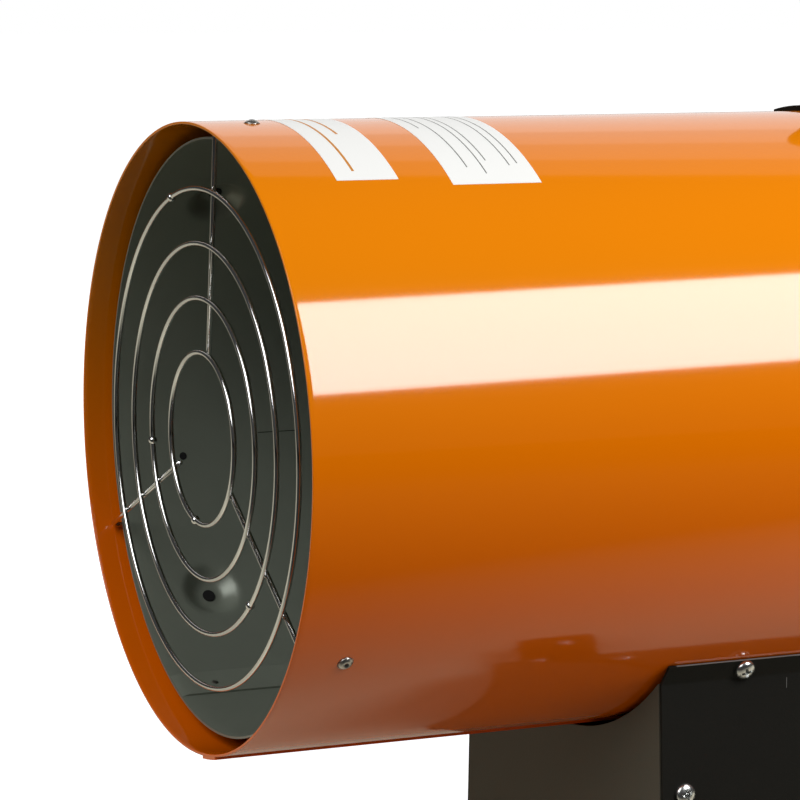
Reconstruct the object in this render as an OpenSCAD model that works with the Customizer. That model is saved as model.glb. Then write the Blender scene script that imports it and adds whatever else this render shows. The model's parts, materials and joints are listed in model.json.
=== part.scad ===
// Gas forced air heater: a rolled steel casing with a burner and a fan on its axis,
// carried by a folded sheet base that holds the gas valve, the igniter and the switch.
// X runs across the heater, Y along its axis from the outlet to the inlet, Z up from the floor.

/* [Casing] */
// Length of the rolled outer casing
casing_len = 500; // [460:1:560]
// Outside diameter of the casing
casing_d = 230; // [222:1:242]
// Sheet thickness of the casing
casing_t = 1; // [0.8:0.1:1.6]
// Width of the casing's lengthwise lap seam
casing_lap_w = 12; // [8:1:16]

/* [Combustion liner] */
// Gap between the casing and the combustion liner
liner_gap = 4.7; // [4:0.1:7]
// Sheet thickness of the liner
liner_t = 0.8; // [0.6:0.1:1.2]
// Setback of the liner's front edge from the casing's rim
liner_setback = 10; // [9:0.5:14]
// Distance of the liner's rear edge from the front of the fan's hub
fan_room = 62.5; // [58:0.5:90]
// Width of the liner's lengthwise lap seam
liner_lap_w = 14; // [8:1:20]
// Mouth diameter of the pressed spacer dimples
dimple_mouth_d = 25; // [20:1:30]
// Floor diameter of the dimples
dimple_floor_d = 10; // [8:1:12]
// Hole in a dimple's floor
dimple_hole_d = 5; // [4:0.1:6]
// Distance of the front dimples from the casing's rim
dimple_front = 40.5; // [34:0.5:60]

/* [Outlet grille] */
// Wire diameter of the outlet grille
wire_d = 2; // [1.8:0.1:3]
// Centre-line radius of the smallest ring
ring_first_r = 31.5; // [24:0.5:34]
// Distance of the largest ring's centre line from the casing's bore
ring_edge_gap = 23.1; // [18:0.1:30]
// Depth of the rings behind the rim
ring_depth = 5.2; // [4:0.1:6]
// Depth of the three grille fixings behind the rim
fixing_depth = 21; // [18:0.1:24]
// Angle of the first grille spoke from the top
spoke_angle = 5.6; // [0:0.1:12]

/* [Rear guard] */
// Wire diameter of the guard's rings
guard_wire_d = 2.2; // [2:0.1:3]
// Wire diameter of the guard's spokes
guard_spoke_d = 3; // [2.5:0.1:3.5]
// Centre-line radius of its smallest ring
guard_first_r = 15; // [12:0.5:18]
// Distance of its largest ring's centre line from the casing's bore
guard_edge_gap = 13.6; // [10:0.1:20]
// Number of its rings
guard_rings = 8; // [6:1:8]

/* [Fan and motor] */
// Clearance between the blade tips and the casing
tip_gap = 6; // [4:0.5:10]
// Number of fan blades
fan_blades = 5; // [4:1:6]
// Thickness of a blade
blade_t = 1.5; // [1.2:0.1:2]
// Pitch angle of the blades
blade_angle = 28; // [22:1:32]
// Diameter of the fan's hub
fan_hub_d = 52; // [44:1:58]
// Length of the fan's hub
fan_hub_len = 26; // [22:1:30]
// Diameter of the motor can
motor_d = 84; // [76:1:92]
// Length of the motor can
motor_len = 56; // [50:1:62]
// Diameter of the motor shaft
shaft_d = 8; // [6:0.5:9]
// Width of the motor's cross strap
strap_w = 34; // [28:1:40]
// Thickness of the cross strap
strap_t = 2.5; // [2:0.1:3]

/* [Burner] */
// Diameter of the burner's back plate
burner_plate_d = 160; // [150:1:170]
// Mouth diameter of the flame cup
cup_mouth_d = 124; // [110:1:134]
// Depth of the flame cup
cup_depth = 50; // [44:1:56]
// Sheet thickness of the cup, the plate and the burner bracket
burner_t = 1.2; // [1:0.1:1.6]
// Outside diameter of the gas pipe
pipe_d = 8; // [6:0.5:9]

/* [Base] */
// Distance from the casing's front rim to the base's front panel
base_setback = 152.3; // [140:0.1:160]
// Distance of the base's rear panel from the casing's rear rim
base_tail = 67.7; // [60:0.1:78]
// Height of the base from its floor to the casing's underside
base_h = 109; // [100:1:130]
// Width of the base frame at the top of its sides
base_w = 155; // [150:1:158]
// Angle by which each side leans outwards
base_splay = 2.4; // [0:0.1:3]
// Sheet thickness of the base and its covers
base_t = 1.2; // [1:0.1:1.6]
// Depth of the return flanges behind the end panels
return_w = 17; // [15:0.5:20]
// Length of a side cover's top flange
flange_len = 7.5; // [7:0.1:8]
// Lean of that flange from the vertical
flange_lean = 27.5; // [24:0.5:32]

/* [Feet] */
// Length of the two cross rails
rail_len = 250; // [240:1:270]
// Width of a cross rail
rail_w = 28; // [26:1:34]
// Height of a cross rail
rail_h = 16; // [14:1:20]
// Height of the rubber foot that shows under a rail
foot_show = 10; // [8:1:14]
// Diameter of a rubber foot
foot_d = 23; // [18:0.5:23]

/* [Handle] */
// Distance between the two legs of the carry handle
handle_span = 120; // [112:1:130]
// Distance of the handle's middle from the casing's rear rim
handle_tail = 170; // [155:1:175]
// Height of the bar's centre line over the casing
handle_rise = 52; // [46:1:60]
// Diameter of the handle's bar
handle_d = 14; // [12:0.5:14]
// Diameter of the soft grip
grip_d = 24; // [21:0.5:26]

/* [Controls] */
// Stroke of the gas valve's button
valve_stroke = 6; // [4:0.5:7]
// Stroke of the igniter's button
igniter_stroke = 7; // [5:0.5:8]
// Rocker tilt each way from its middle
rocker_tilt = 11; // [8:1:12]
// Thread diameter of the gas inlet
inlet_thread_d = 16.66; // [15:0.01:17]
// Length of the gas inlet's thread
inlet_thread_len = 13; // [11:0.5:15]
// Bore of the cable gland
gland_bore_d = 7.6; // [6:0.1:9]

/* [Hidden] */
$fn = 72;

// Overrun of every cut past the face that it starts from
cut = 1;
// Gap between two fixed pieces that lie on each other along a curve
seat = 0.2;
// Radial gap of a sliding button in its guide
slide_gap = 0.3;
// Radial gap of a turning shaft or pin in its bush
run_gap = 0.05;
// Radial gap of a screw or rivet shank in its holes
shank_gap = 0.1;
// Radial gap of a piece that is pressed or screwed into a round seat
snug = 0.02;
// Depth by which two welded or moulded pieces of one node run into each other
weld = 0.2;

// Casing, worked out from its driving sizes
casing_r = casing_d / 2;
bore_r = casing_r - casing_t;
front_y = -casing_len / 2;
rear_y = casing_len / 2;
base_z = foot_show + rail_h;
axis_h = base_z + base_h + casing_r;
// The casing's lap seam starts here, measured from the top towards the near side
casing_lap_angle = 168;

// Liner
liner_r = bore_r - liner_gap;
liner_in_r = liner_r - liner_t;
liner_lap_angle = -161;
dimple_front_angle = 48.6;
dimple_rear_angle = 10;
dimple_count = 4;
dimple_rear_inset = 22;
dimple_flat_r = dimple_floor_d / 2 + liner_t / 2;
dimple_top_r = sqrt(pow(bore_r - seat, 2) - pow(dimple_flat_r, 2));
sensor_hole_d = 3;
sensor_hole_angle = -101.5;
screw_clear = 0.8;

// Screws, rivets and nuts that the heater uses throughout
screw_head_d = 8;
screw_head_h = 2.6;
screw_d = 4;
screw_len = 9;
rivet_head_d = 6.5;
rivet_head_h = 1.4;
rivet_d = 4;
rivet_hole_d = 2;
rivet_tail = 1.6;

// Outlet grille
ring_count = 4;
spoke_count = 3;
spoke_stub = 2;
spoke_bend_r = 3;
eye_gap_r = screw_d / 2 + shank_gap;
wire_seat_r = bore_r - seat;
ring_pitch = (bore_r - ring_edge_gap - ring_first_r) / (ring_count - 1);

// Rear guard
guard_depth = 5.2;
guard_spokes = 4;
guard_pitch = (bore_r - guard_edge_gap - guard_first_r) / (guard_rings - 1);
guard_angle = 45;

// Motor strap and motor
strap_inset = 31;
strap_y = rear_y - strap_inset;
strap_end_len = 16;
strap_flange_r = sqrt(pow(bore_r - seat, 2) - pow(strap_w / 2, 2));
strap_disc_d = 76;
strap_hole_gap = 1;
strap_end_count = 2;
strap_angle = 90;
motor_cap_len = 12;
motor_cap_inset = 3;
motor_boss_d = 32;
motor_boss_len = 6;
bush_d = 16;
bush_len = 8;
motor_stud_r = 27;
motor_stud_d = 5;
motor_nut_af = 8;
motor_nut_h = 4;
motor_back_y = strap_y - strap_t;
motor_front_y = motor_back_y - motor_len;
motor_slots = 12;
motor_slot_w = 4;

// Fan
fan_r = bore_r - tip_gap;
fan_gap = 6;
paddle_shares = [0.37, 0.685];
blade_paddle_r = paddle_shares[0] * fan_r;
blade_paddle_at = paddle_shares[1] * fan_r;
blade_neck_w = 34;
camber_share = 1.3;
blade_camber_r = camber_share * fan_r;
blade_sag = pow(blade_paddle_r, 2) / (2 * blade_camber_r);
fan_depth = 2 * blade_paddle_r * sin(blade_angle) + blade_sag + 2 * blade_t;
fan_back_y = motor_front_y - motor_boss_len - fan_gap;
fan_front_y = fan_back_y - fan_hub_len;
hub_recess = 16;
hub_wall = 3;
hub_core_d = 18;
fan_nut_af = 13;
fan_nut_h = 6.5;
shaft_tip = 3;

// The liner's rear edge and its rear dimples, measured from the casing's front rim
liner_end = fan_front_y - fan_room - front_y;
liner_len = liner_end - liner_setback;
dimple_rear = liner_end - dimple_rear_inset;

// Burner, placed just behind the liner's rear edge
burner_behind = 2;
burner_y = front_y + liner_end + burner_behind;
cup_floor_d = 48;
cup_lip = 4;
cup_hole_d = 5;
cup_hole_rows = 2;
cup_holes = 10;
holder_d = 14;
holder_af = 19;
holder_hex_len = 10;
holder_nut_af = 19;
holder_nut_h = 6;
holder_front = 8;
nozzle_d = 10;
nozzle_len = 12;
nozzle_tip_d = 5;
nozzle_hole_d = 1.2;
plate_slots = 10;
plate_slot_len = 22;
plate_slot_w = 5;
plate_slot_r = 50;
plate_rim = 5;
bracket_w = 24;
bracket_t = 2;
bracket_foot = 18;
bracket_back_y = burner_y + burner_t + bracket_t;
holder_back_y = bracket_back_y + holder_hex_len;

// Electrode and thermocouple, one each side of the nozzle
probe_x = 31.5;
probe_up = 41;
probe_z = axis_h + probe_up;
insulator_d = 7;
insulator_front = 26;
insulator_back = 22;
insulator_collar_d = 10;
insulator_collar = 3;
electrode_d = 2.4;
electrode_front = 44;
electrode_tip = 9;
thermo_d = 5;
thermo_front = 47;
thermo_back = 10;
thermo_nut_af = 10;
thermo_nut_h = 6;
probe_hole_gap = 0.4;
probe_slack = 1.4;

// Leads that the heater holds along their whole way
thermo_lead_d = 2.4;
igniter_lead_d = 5;
motor_lead_d = 6;
lead_bend_r = 9;
lead_run_in = 12;
thermo_bend_r = 5;
thermo_end_len = 8;
thermo_end_af = 9;
thermo_straight = 1;
thermo_drop_y = burner_y + burner_t + thermo_back + thermo_straight + 2 * thermo_bend_r;

// Base, whose sides lean out below the bend of the side covers
arc_gap = 2.5;
cover_gap = 0.3;
cover_out = base_w / 2 + cover_gap + base_t;
flange_in_x = cover_out + flange_len * sin(flange_lean) - base_t * cos(flange_lean);
flange_in_z = -sqrt(pow(casing_r + seat, 2) - pow(flange_in_x, 2));
bend_z = axis_h + flange_in_z - flange_len * cos(flange_lean) - base_t * sin(flange_lean);
base_y = front_y + base_setback;
base_end = rear_y - base_tail;
base_len = base_end - base_y;
base_out = (bend_z - base_z) * tan(base_splay);
flange_mitre = 2;
cover_setback = 0.4;
cover_bend_r = 2.5;
bend_steps = 6;
flange_mid_x = cover_out + flange_len / 2 * sin(flange_lean);
flange_mid_z = bend_z + flange_len / 2 * cos(flange_lean);
flange_screw_len = norm([flange_mid_x, flange_mid_z - axis_h]) - liner_r - screw_clear;
side_screw_in = 9.5;
side_screw_drop = 41;
side_screw_foot = 22;
flange_screw_in = 34;
lip_h = 14;

// Feet
rail_t = 1.6;
rail_inset = 34;
foot_inset = 15;
rail_screw_x = 46;
rail_corner = 8;
foot_chamfer = 1.5;
foot_screw_len = 14;

// Gas valve behind the base's rear panel
panel_in_y = base_end - base_t;
valve_x = -42;
valve_up = 66;
valve_z = base_z + valve_up;
inlet_drop = 38;
outlet_drop = 22;
valve_d = 30;
valve_len = 46;
valve_back_gap = 3;
valve_neck_d = 18;
valve_neck_out = 5;
valve_nut_af = 24;
valve_nut_h = 4;
valve_bore_len = 22;
valve_button_d = 12.4;
valve_button_len = 25;
valve_cap_d = 18;
valve_cap_len = 6;
valve_cap_gap = 3;
valve_cap_edge = 1.2;
magnet_af = 17;
magnet_len = 14;
arm_w = 20;
outlet_boss_d = 16;
outlet_boss_out = 18;
inlet_af = 19;
inlet_hex_len = 10;
inlet_body_d = 14;
inlet_bore_d = 6;
inlet_undercut = 2;
inlet_collar = 1;
valve_back_y = panel_in_y - valve_back_gap;
valve_front_y = valve_back_y - valve_len;

// Gas pipe, from the nozzle holder down into the base and across to the valve
pipe_bend_r = 12;
pipe_nut_af = 14;
pipe_nut_len = 9;
pipe_straight = 1;
pipe_drop_y = holder_back_y + pipe_nut_len + pipe_straight + pipe_bend_r;
outlet_y = valve_front_y + outlet_boss_d / 2;
outlet_z = valve_z - outlet_drop;
outlet_x = valve_x + outlet_boss_out;

// Igniter, in the middle of the rear panel
igniter_d = 18;
igniter_len = 34;
igniter_flange_d = 24;
igniter_flange_h = 2.5;
igniter_button_d = 12;
igniter_button_out = 10;
igniter_button_in = 12;
igniter_nut_af = 22;
igniter_nut_h = 5;
igniter_front_y = panel_in_y - igniter_len;
igniter_pin_d = 5;
igniter_pin_len = 6;
igniter_edge = 1;

// Rocker switch
switch_x = 42;
switch_w = 13;
switch_h = 19;
switch_depth = 16;
bezel_w = 15;
bezel_h = 21;
bezel_t = 2;
rocker_w = 9.6;
rocker_r = 8;
rocker_face = 2;
rocker_rise = 3.6;
rocker_under = 4;
rocker_pin_d = 2;
rocker_pin_len = 0.9;
rocker_gap = 0.3;
rocker_back = 1;
tab_w = 4.8;
tab_t = 0.8;
tab_len = 7;
tab_step = 6;

// Cable gland, under the switch
gland_x = 42;
gland_drop = 38;
gland_body_d = 16;
gland_af = 20;
gland_hex_h = 5;
gland_cap_d = 19;
gland_cap_len = 13;
gland_cap_tip_d = 13;
gland_nut_af = 20;
gland_nut_h = 5;
gland_in = 8;

// Terminal block on the base's floor
terminal_side = 32.5;
terminal_x = base_w / 2 - terminal_side;
terminal_in = 180;
terminal_l = 36;
terminal_w = 18;
terminal_h = 16;
terminal_ways = 3;
terminal_screw_d = 5;

// Grommets where the pipe and the leads pass the casing's bottom
grommet_lip = 2;
grommet_wall = 1.6;
grommet_gap = 0.2;
motor_lead_x = -20;
motor_lead_in = 14;
motor_lead_floor = 24;
motor_gland_d = 10;
motor_gland_out = 2;
motor_mid_y = motor_front_y + motor_len / 2;
motor_lead_step = 3;
motor_hole_y = min(panel_in_y - motor_lead_in, motor_mid_y - 2 * lead_bend_r - motor_lead_step);

// Limit thermostat under the casing's top
thermostat_d = 16;
thermostat_h = 9;
thermostat_ear_w = 24;
thermostat_ear_t = 1;
stat_bracket_w = 14;
stat_bracket_t = 1.2;
stat_foot = 14;
stat_drop = 34;
stat_behind = 14;
stat_y = burner_y + stat_behind;

// Handle
leg_y = rear_y - handle_tail;
handle_bend_r = 20;
saddle_l = 24;
saddle_w = 46;
saddle_t = 2;
saddle_screw_angle = 7.5;
handle_screw_len = saddle_t + seat + casing_t + liner_gap - screw_clear;
grip_len = 78;
grip_gap = 0.1;
grip_rib_step = 7;
grip_rib = 1;
grip_groove_w = 3;

// Unit vector along v
function unit(v) = v / norm(v);

// Matrix that carries the three axes to a, b and c, and the origin to p
function frame_at(p, a, b, c) = [
    [a.x, b.x, c.x, p.x],
    [a.y, b.y, c.y, p.y],
    [a.z, b.z, c.z, p.z],
    [0, 0, 0, 1],
];

// A direction square to c
function beside(c) = unit(abs(c.z) < 0.9 ? cross([0, 0, 1], c) : cross([1, 0, 0], c));

// Length that a bend of radius r takes from each of its two straights
function bend_back(p, q, s, r) = r * tan(acos(unit(q - p) * unit(s - q)) / 2);

// Round bar from p to q
module bar(p, q, d) {
    c = unit(q - p);
    a = beside(c);
    multmatrix(frame_at(p, a, cross(c, a), c)) cylinder(d = d, h = norm(q - p));
}

// Quarter or smaller turn of a round bar at corner q, on its way from p to s
module bar_bend(p, q, s, r, d) {
    u = unit(q - p);
    w = unit(s - q);
    turn = acos(u * w);
    centre = q + unit(w - u) * r / cos(turn / 2);
    a = unit(q - u * bend_back(p, q, s, r) - centre);
    multmatrix(frame_at(centre, a, u, cross(a, u)))
        rotate_extrude(angle = turn) translate([r, 0]) circle(d = d);
}

// Round bar along a chain of corners, with every corner bent to radius r
module bent_bar(corners, r, d) {
    last = len(corners) - 1;
    for (i = [0:last - 1]) {
        p = corners[i];
        q = corners[i + 1];
        from = i == 0 ? 0 : bend_back(corners[i - 1], p, q, r);
        to = i == last - 1 ? 0 : bend_back(p, q, corners[i + 2], r);
        bar(p + unit(q - p) * from, q - unit(q - p) * to, d);
    }
    for (i = [1:last - 1]) bar_bend(corners[i - 1], corners[i], corners[i + 1], r, d);
}

// Children stand at the casing's axis, a distance behind its front rim
module on_axis(behind) translate([0, front_y + behind, axis_h]) children();

// Children that were built upwards run from front to rear
module rearwards() rotate([-90, 0, 0]) children();

// Children stand on a circle about the axis, turned from the top towards the near side
module at_clock(clock, r) rotate([0, clock, 0]) translate([0, 0, r]) children();

// Flat outline in X and Z, given depth from y towards the rear
module upright(y, depth) translate([0, y + depth, 0]) rotate([90, 0, 0]) linear_extrude(depth) children();

// Children stand on the outside of the base's rear panel and point away from it
module on_panel(x, z) translate([x, base_end, z]) rearwards() children();

module tube(od, id, h) {
    difference() {
        cylinder(d = od, h = h);
        translate([0, 0, -cut]) cylinder(d = id, h = h + 2 * cut);
    }
}

module hex_bar(af, h) cylinder(d = af / cos(30), h = h, $fn = 6);

module hex_nut(af, h, hole_d) {
    difference() {
        hex_bar(af, h);
        translate([0, 0, -cut]) cylinder(d = hole_d, h = h + 2 * cut);
    }
}

// Pan head screw, whose head stands on the origin's plane and whose shank hangs below it
module pan_screw(length, d = screw_d, head_d = screw_head_d, head_h = screw_head_h) {
    dome_r = head_d / 2 + head_h / 2;
    intersection() {
        cylinder(d = head_d, h = head_h);
        translate([0, 0, head_h - dome_r]) sphere(r = dome_r);
    }
    translate([0, 0, -length]) cylinder(d = d, h = length + weld);
}

// Blind rivet with its mandrel hole, set through a stack of the given thickness
module blind_rivet(stack) {
    dome_r = rivet_head_d / 2 + rivet_head_h / 2;
    difference() {
        union() {
            intersection() {
                cylinder(d = rivet_head_d, h = rivet_head_h);
                translate([0, 0, rivet_head_h - dome_r]) sphere(r = dome_r);
            }
            translate([0, 0, -stack - rivet_tail]) cylinder(d = rivet_d, h = stack + rivet_tail + weld);
        }
        translate([0, 0, -stack]) cylinder(d = rivet_hole_d, h = stack + rivet_head_h + cut);
    }
}

// Strip of sheet rolled to radius r about the axis, from one clock angle on
module rolled_strip(r, t, clock, w, length) {
    rotate([0, clock, 0]) multmatrix([[0, 1, 0, 0], [0, 0, 1, 0], [1, 0, 0, 0], [0, 0, 0, 1]])
        rotate_extrude(angle = w / r * 180 / PI) translate([r, 0]) square([t, length]);
}

// Angles of a ring of like features
function clocks(count, first) = [for (i = [0:count - 1]) first + i * 360 / count];

module at_axis(y) translate([0, y, axis_h]) children();

// One radial hole through the casing's sheet
module radial_hole(clock, y, d) {
    at_axis(y) at_clock(clock, bore_r - cut) cylinder(d = d, h = casing_t + 2 * cut);
}

// One upright hole through the casing's bottom
module bottom_hole(x, y, d) translate([x, y, axis_h - casing_r - cut]) cylinder(d = d, h = casing_r / 2);

// Children stand on each cover flange, square to its outer face
module at_flange_screws() {
    for (side = [0, 1], y = [base_y + flange_screw_in, base_end - flange_screw_in])
        mirror([side, 0, 0]) translate([flange_mid_x, y, flange_mid_z]) rotate([0, 90 + flange_lean, 0])
            children();
}

// Children stand on the outer face of one side cover, square to it
module at_cover_screws(side) {
    for (y = [base_y + side_screw_in, base_end - side_screw_in],
         z = [bend_z - side_screw_drop, base_z + side_screw_foot])
        mirror([side, 0, 0]) translate([cover_out + (bend_z - z) * tan(base_splay), y, z])
            rotate([0, 90 - base_splay, 0]) children();
}

// The places where a pipe or a lead passes the casing's bottom: x, y and its diameter
PASSES = [
    [0, pipe_drop_y, pipe_d],
    [-probe_x, thermo_drop_y, thermo_lead_d],
    [probe_x, pipe_drop_y, igniter_lead_d],
    [motor_lead_x, motor_hole_y, motor_lead_d],
];

function sleeve_d(d) = d + 2 * (grommet_gap + grommet_wall);

SHANK_HOLE = screw_d + 2 * shank_gap;
STRAP_SCREW_Y = strap_y + strap_end_len / 2;
BRACKET_SCREW_Y = bracket_back_y + bracket_foot / 2;
STAT_SCREW_Y = stat_y + stat_foot / 2;

module outer_casing() color("darkorange") {
    difference() {
        union() {
            on_axis(0) rearwards() tube(casing_d, 2 * bore_r, casing_len);
            on_axis(0)
                rolled_strip(casing_r - weld, casing_t + weld, casing_lap_angle, casing_lap_w, casing_len);
        }
        for (c = clocks(spoke_count, spoke_angle)) radial_hole(c, front_y + fixing_depth, SHANK_HOLE);
        for (c = clocks(guard_spokes, guard_angle)) radial_hole(c, rear_y - fixing_depth, SHANK_HOLE);
        for (c = clocks(dimple_count, dimple_rear_angle)) radial_hole(c, front_y + dimple_rear, SHANK_HOLE);
        for (c = clocks(strap_end_count, strap_angle)) radial_hole(c, STRAP_SCREW_Y, SHANK_HOLE);
        for (c = [-saddle_screw_angle, saddle_screw_angle], side = [-1, 1])
            radial_hole(c, leg_y + side * handle_span / 2, SHANK_HOLE);
        radial_hole(180, BRACKET_SCREW_Y, SHANK_HOLE);
        radial_hole(0, STAT_SCREW_Y, SHANK_HOLE);
        for (p = PASSES) bottom_hole(p[0], p[1], sleeve_d(p[2]) + 2 * seat);
        at_flange_screws() translate([0, 0, -2 * flange_screw_len])
            cylinder(d = SHANK_HOLE, h = 2 * flange_screw_len);
    }
}

// Dished spacer, pressed outwards: the solid that the press adds, or the hollow that it leaves
module dimple(hollow) {
    depth = dimple_top_r - liner_t - liner_in_r;
    slope = (dimple_mouth_d - dimple_floor_d) / 2 / depth;
    if (hollow) {
        translate([0, 0, liner_in_r - cut])
            cylinder(r1 = dimple_mouth_d / 2 + slope * cut, r2 = dimple_floor_d / 2, h = depth + cut);
        translate([0, 0, liner_in_r]) cylinder(d = dimple_hole_d, h = liner_gap + liner_t + cut);
    } else {
        translate([0, 0, liner_in_r])
            cylinder(r1 = dimple_flat_r + slope * (depth + liner_t), r2 = dimple_flat_r, h = depth + liner_t);
    }
}

module liner_dimples(hollow) {
    for (row = [[front_y + dimple_front, dimple_front_angle], [front_y + dimple_rear, dimple_rear_angle]],
         c = clocks(dimple_count, row[1]))
        at_axis(row[0]) at_clock(c, 0) dimple(hollow);
}

module combustion_liner() color("dimgray") {
    difference() {
        union() {
            on_axis(liner_setback) rearwards() cylinder(r = liner_r, h = liner_len);
            liner_dimples(false);
        }
        on_axis(liner_setback - cut) rearwards() cylinder(r = liner_in_r, h = liner_len + 2 * cut);
        liner_dimples(true);
        at_axis(front_y + dimple_front) at_clock(sensor_hole_angle, liner_in_r - cut)
            cylinder(d = sensor_hole_d, h = liner_t + 2 * cut);
    }
    on_axis(liner_setback)
        rolled_strip(liner_in_r - liner_t, liner_t + weld, liner_lap_angle, liner_lap_w, liner_len);
}

module liner_rivets() color("silver") {
    for (c = clocks(dimple_count, dimple_rear_angle))
        on_axis(dimple_rear) at_clock(c, casing_r) blind_rivet(casing_r - dimple_top_r + liner_t);
}

// Concentric rings on bent spokes whose eyes lie against the casing's bore, measured from the rim inwards
module wire_guard(ring_wire, spoke_wire, first_r, pitch, count, spokes, clock, depth) {
    spoke_y = depth + ring_wire / 2 + spoke_wire / 2 - weld;
    seat_r = wire_seat_r - spoke_wire / 2;
    eye_r = eye_gap_r + spoke_wire / 2;
    for (i = [0:count - 1])
        translate([0, depth, 0]) rearwards() rotate_extrude()
            translate([first_r + i * pitch, 0]) circle(d = ring_wire);
    for (c = clocks(spokes, clock)) rotate([0, c, 0]) {
        bent_bar([[0, spoke_y, first_r - spoke_stub], [0, spoke_y, seat_r],
                  [0, fixing_depth - eye_r, seat_r]], spoke_bend_r, spoke_wire);
        translate([0, fixing_depth, seat_r]) rotate_extrude() translate([eye_r, 0]) circle(d = spoke_wire);
    }
}

module outlet_grille() color("gainsboro") {
    on_axis(0) wire_guard(wire_d, wire_d, ring_first_r, ring_pitch, ring_count,
                          spoke_count, spoke_angle, ring_depth);
}

module grille_rivets() color("gainsboro") {
    for (c = clocks(spoke_count, spoke_angle))
        on_axis(fixing_depth) at_clock(c, casing_r) blind_rivet(casing_r - wire_seat_r + wire_d);
}

module rear_guard() color("gainsboro") {
    on_axis(casing_len) mirror([0, 1, 0])
        wire_guard(guard_wire_d, guard_spoke_d, guard_first_r, guard_pitch, guard_rings,
                   guard_spokes, guard_angle, guard_depth);
}

module guard_screws() color("silver") {
    for (c = clocks(guard_spokes, guard_angle))
        on_axis(casing_len - fixing_depth) at_clock(c, casing_r) pan_screw(screw_len);
}

module at_motor_studs() for (side = [-1, 1]) translate([side * motor_stud_r, 0, 0]) children();

// Cross strap with a disc for the motor and an end flange against each side of the casing
module motor_strap() color("dimgray") {
    difference() {
        at_axis(strap_y - strap_t) {
            translate([-strap_flange_r, 0, -strap_w / 2]) cube([2 * strap_flange_r, strap_t, strap_w]);
            rearwards() cylinder(d = strap_disc_d, h = strap_t);
            for (side = [0, 1]) mirror([side, 0, 0])
                translate([strap_flange_r - strap_t, 0, -strap_w / 2])
                    cube([strap_t, strap_end_len + strap_t, strap_w]);
        }
        at_axis(strap_y - strap_t - cut) rearwards() {
            cylinder(d = motor_boss_d + 2 * strap_hole_gap, h = strap_t + 2 * cut);
            at_motor_studs() cylinder(d = motor_stud_d + 2 * shank_gap, h = strap_t + 2 * cut);
        }
        at_axis(STRAP_SCREW_Y) rotate([0, 90, 0])
            translate([0, 0, -casing_r]) cylinder(d = SHANK_HOLE, h = casing_d);
    }
}

module strap_screws() color("silver") {
    for (c = clocks(strap_end_count, strap_angle))
        at_axis(STRAP_SCREW_Y) at_clock(c, casing_r) pan_screw(screw_len);
}

// Motor can with its end caps, its shaft bosses, two studs and the gland of its lead
module motor_body() color("dimgray") {
    cap_d = motor_d - 2 * motor_cap_inset;
    difference() {
        union() {
            at_axis(motor_front_y) rearwards() {
                cylinder(d = cap_d, h = motor_len);
                translate([0, 0, motor_cap_len]) cylinder(d = motor_d, h = motor_len - 2 * motor_cap_len);
                translate([0, 0, -motor_boss_len])
                    cylinder(d = motor_boss_d, h = motor_len + 2 * motor_boss_len);
                at_motor_studs() cylinder(d = motor_stud_d, h = motor_len + strap_t + 2 * motor_nut_h);
            }
            translate([motor_lead_x, motor_mid_y, axis_h - motor_d / 2 - motor_gland_out])
                cylinder(d = motor_gland_d, h = motor_d / 2);
        }
        at_axis(motor_front_y - motor_boss_len - cut) rearwards()
            cylinder(d = shaft_d + 2 * (shank_gap + slide_gap), h = motor_len + 2 * (motor_boss_len + cut));
        for (y = [motor_front_y - motor_boss_len - cut, motor_back_y + motor_boss_len - bush_len])
            at_axis(y) rearwards() cylinder(d = bush_d + 2 * snug, h = bush_len + cut);
        for (c = clocks(motor_slots, 0)) at_axis(motor_front_y + motor_cap_len - cut)
            rotate([0, c, 0]) translate([-motor_slot_w / 2, 0, motor_d / 2 - motor_cap_inset])
                cube([motor_slot_w, motor_len - 2 * motor_cap_len + 2 * cut, motor_cap_inset + cut]);
    }
}

module motor_bushes() color("darkgoldenrod") {
    for (y = [motor_front_y - motor_boss_len, motor_back_y + motor_boss_len - bush_len])
        at_axis(y) rearwards() tube(bush_d, shaft_d + 2 * run_gap, bush_len);
}

module motor_nuts() color("silver") {
    at_axis(strap_y) rearwards() at_motor_studs()
        hex_nut(motor_nut_af, motor_nut_h, motor_stud_d + 2 * snug);
}

module motor_shaft() color("lightgray") {
    tip_y = fan_front_y - fan_nut_h - shaft_tip;
    at_axis(tip_y) rearwards() cylinder(d = shaft_d, h = motor_back_y + motor_boss_len - tip_y);
}

// Paddle blade cut from a sheet that is rolled along its length and pitched
module fan_blade() {
    intersection() {
        translate([0, 0, -fan_depth / 2]) linear_extrude(fan_depth) intersection() {
            circle(r = fan_r);
            union() {
                translate([blade_paddle_at, 0]) circle(r = blade_paddle_r);
                translate([fan_hub_d / 2 - blade_t, -blade_neck_w / 2])
                    square([blade_paddle_at - fan_hub_d / 2, blade_neck_w]);
            }
        }
        rotate([blade_angle, 0, 0]) translate([0, 0, blade_sag / 2 - blade_camber_r])
            rotate([0, 90, 0]) tube(2 * blade_camber_r + blade_t, 2 * blade_camber_r - blade_t, fan_r);
    }
}

module fan_impeller() color("lightgray") {
    at_axis(fan_front_y) rearwards() difference() {
        union() {
            cylinder(d = fan_hub_d, h = fan_hub_len);
            translate([0, 0, fan_hub_len / 2]) for (c = clocks(fan_blades, 0)) rotate([0, 0, c]) fan_blade();
        }
        translate([0, 0, -cut]) cylinder(d = shaft_d + 2 * snug, h = fan_hub_len + 2 * cut);
        translate([0, 0, fan_hub_len - hub_recess]) difference() {
            cylinder(d = fan_hub_d - 2 * hub_wall, h = hub_recess + cut);
            cylinder(d = hub_core_d, h = hub_recess + cut);
        }
    }
}

module fan_nut() color("silver") {
    at_axis(fan_front_y - fan_nut_h) rearwards() hex_nut(fan_nut_af, fan_nut_h, shaft_d + 2 * snug);
}

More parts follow.
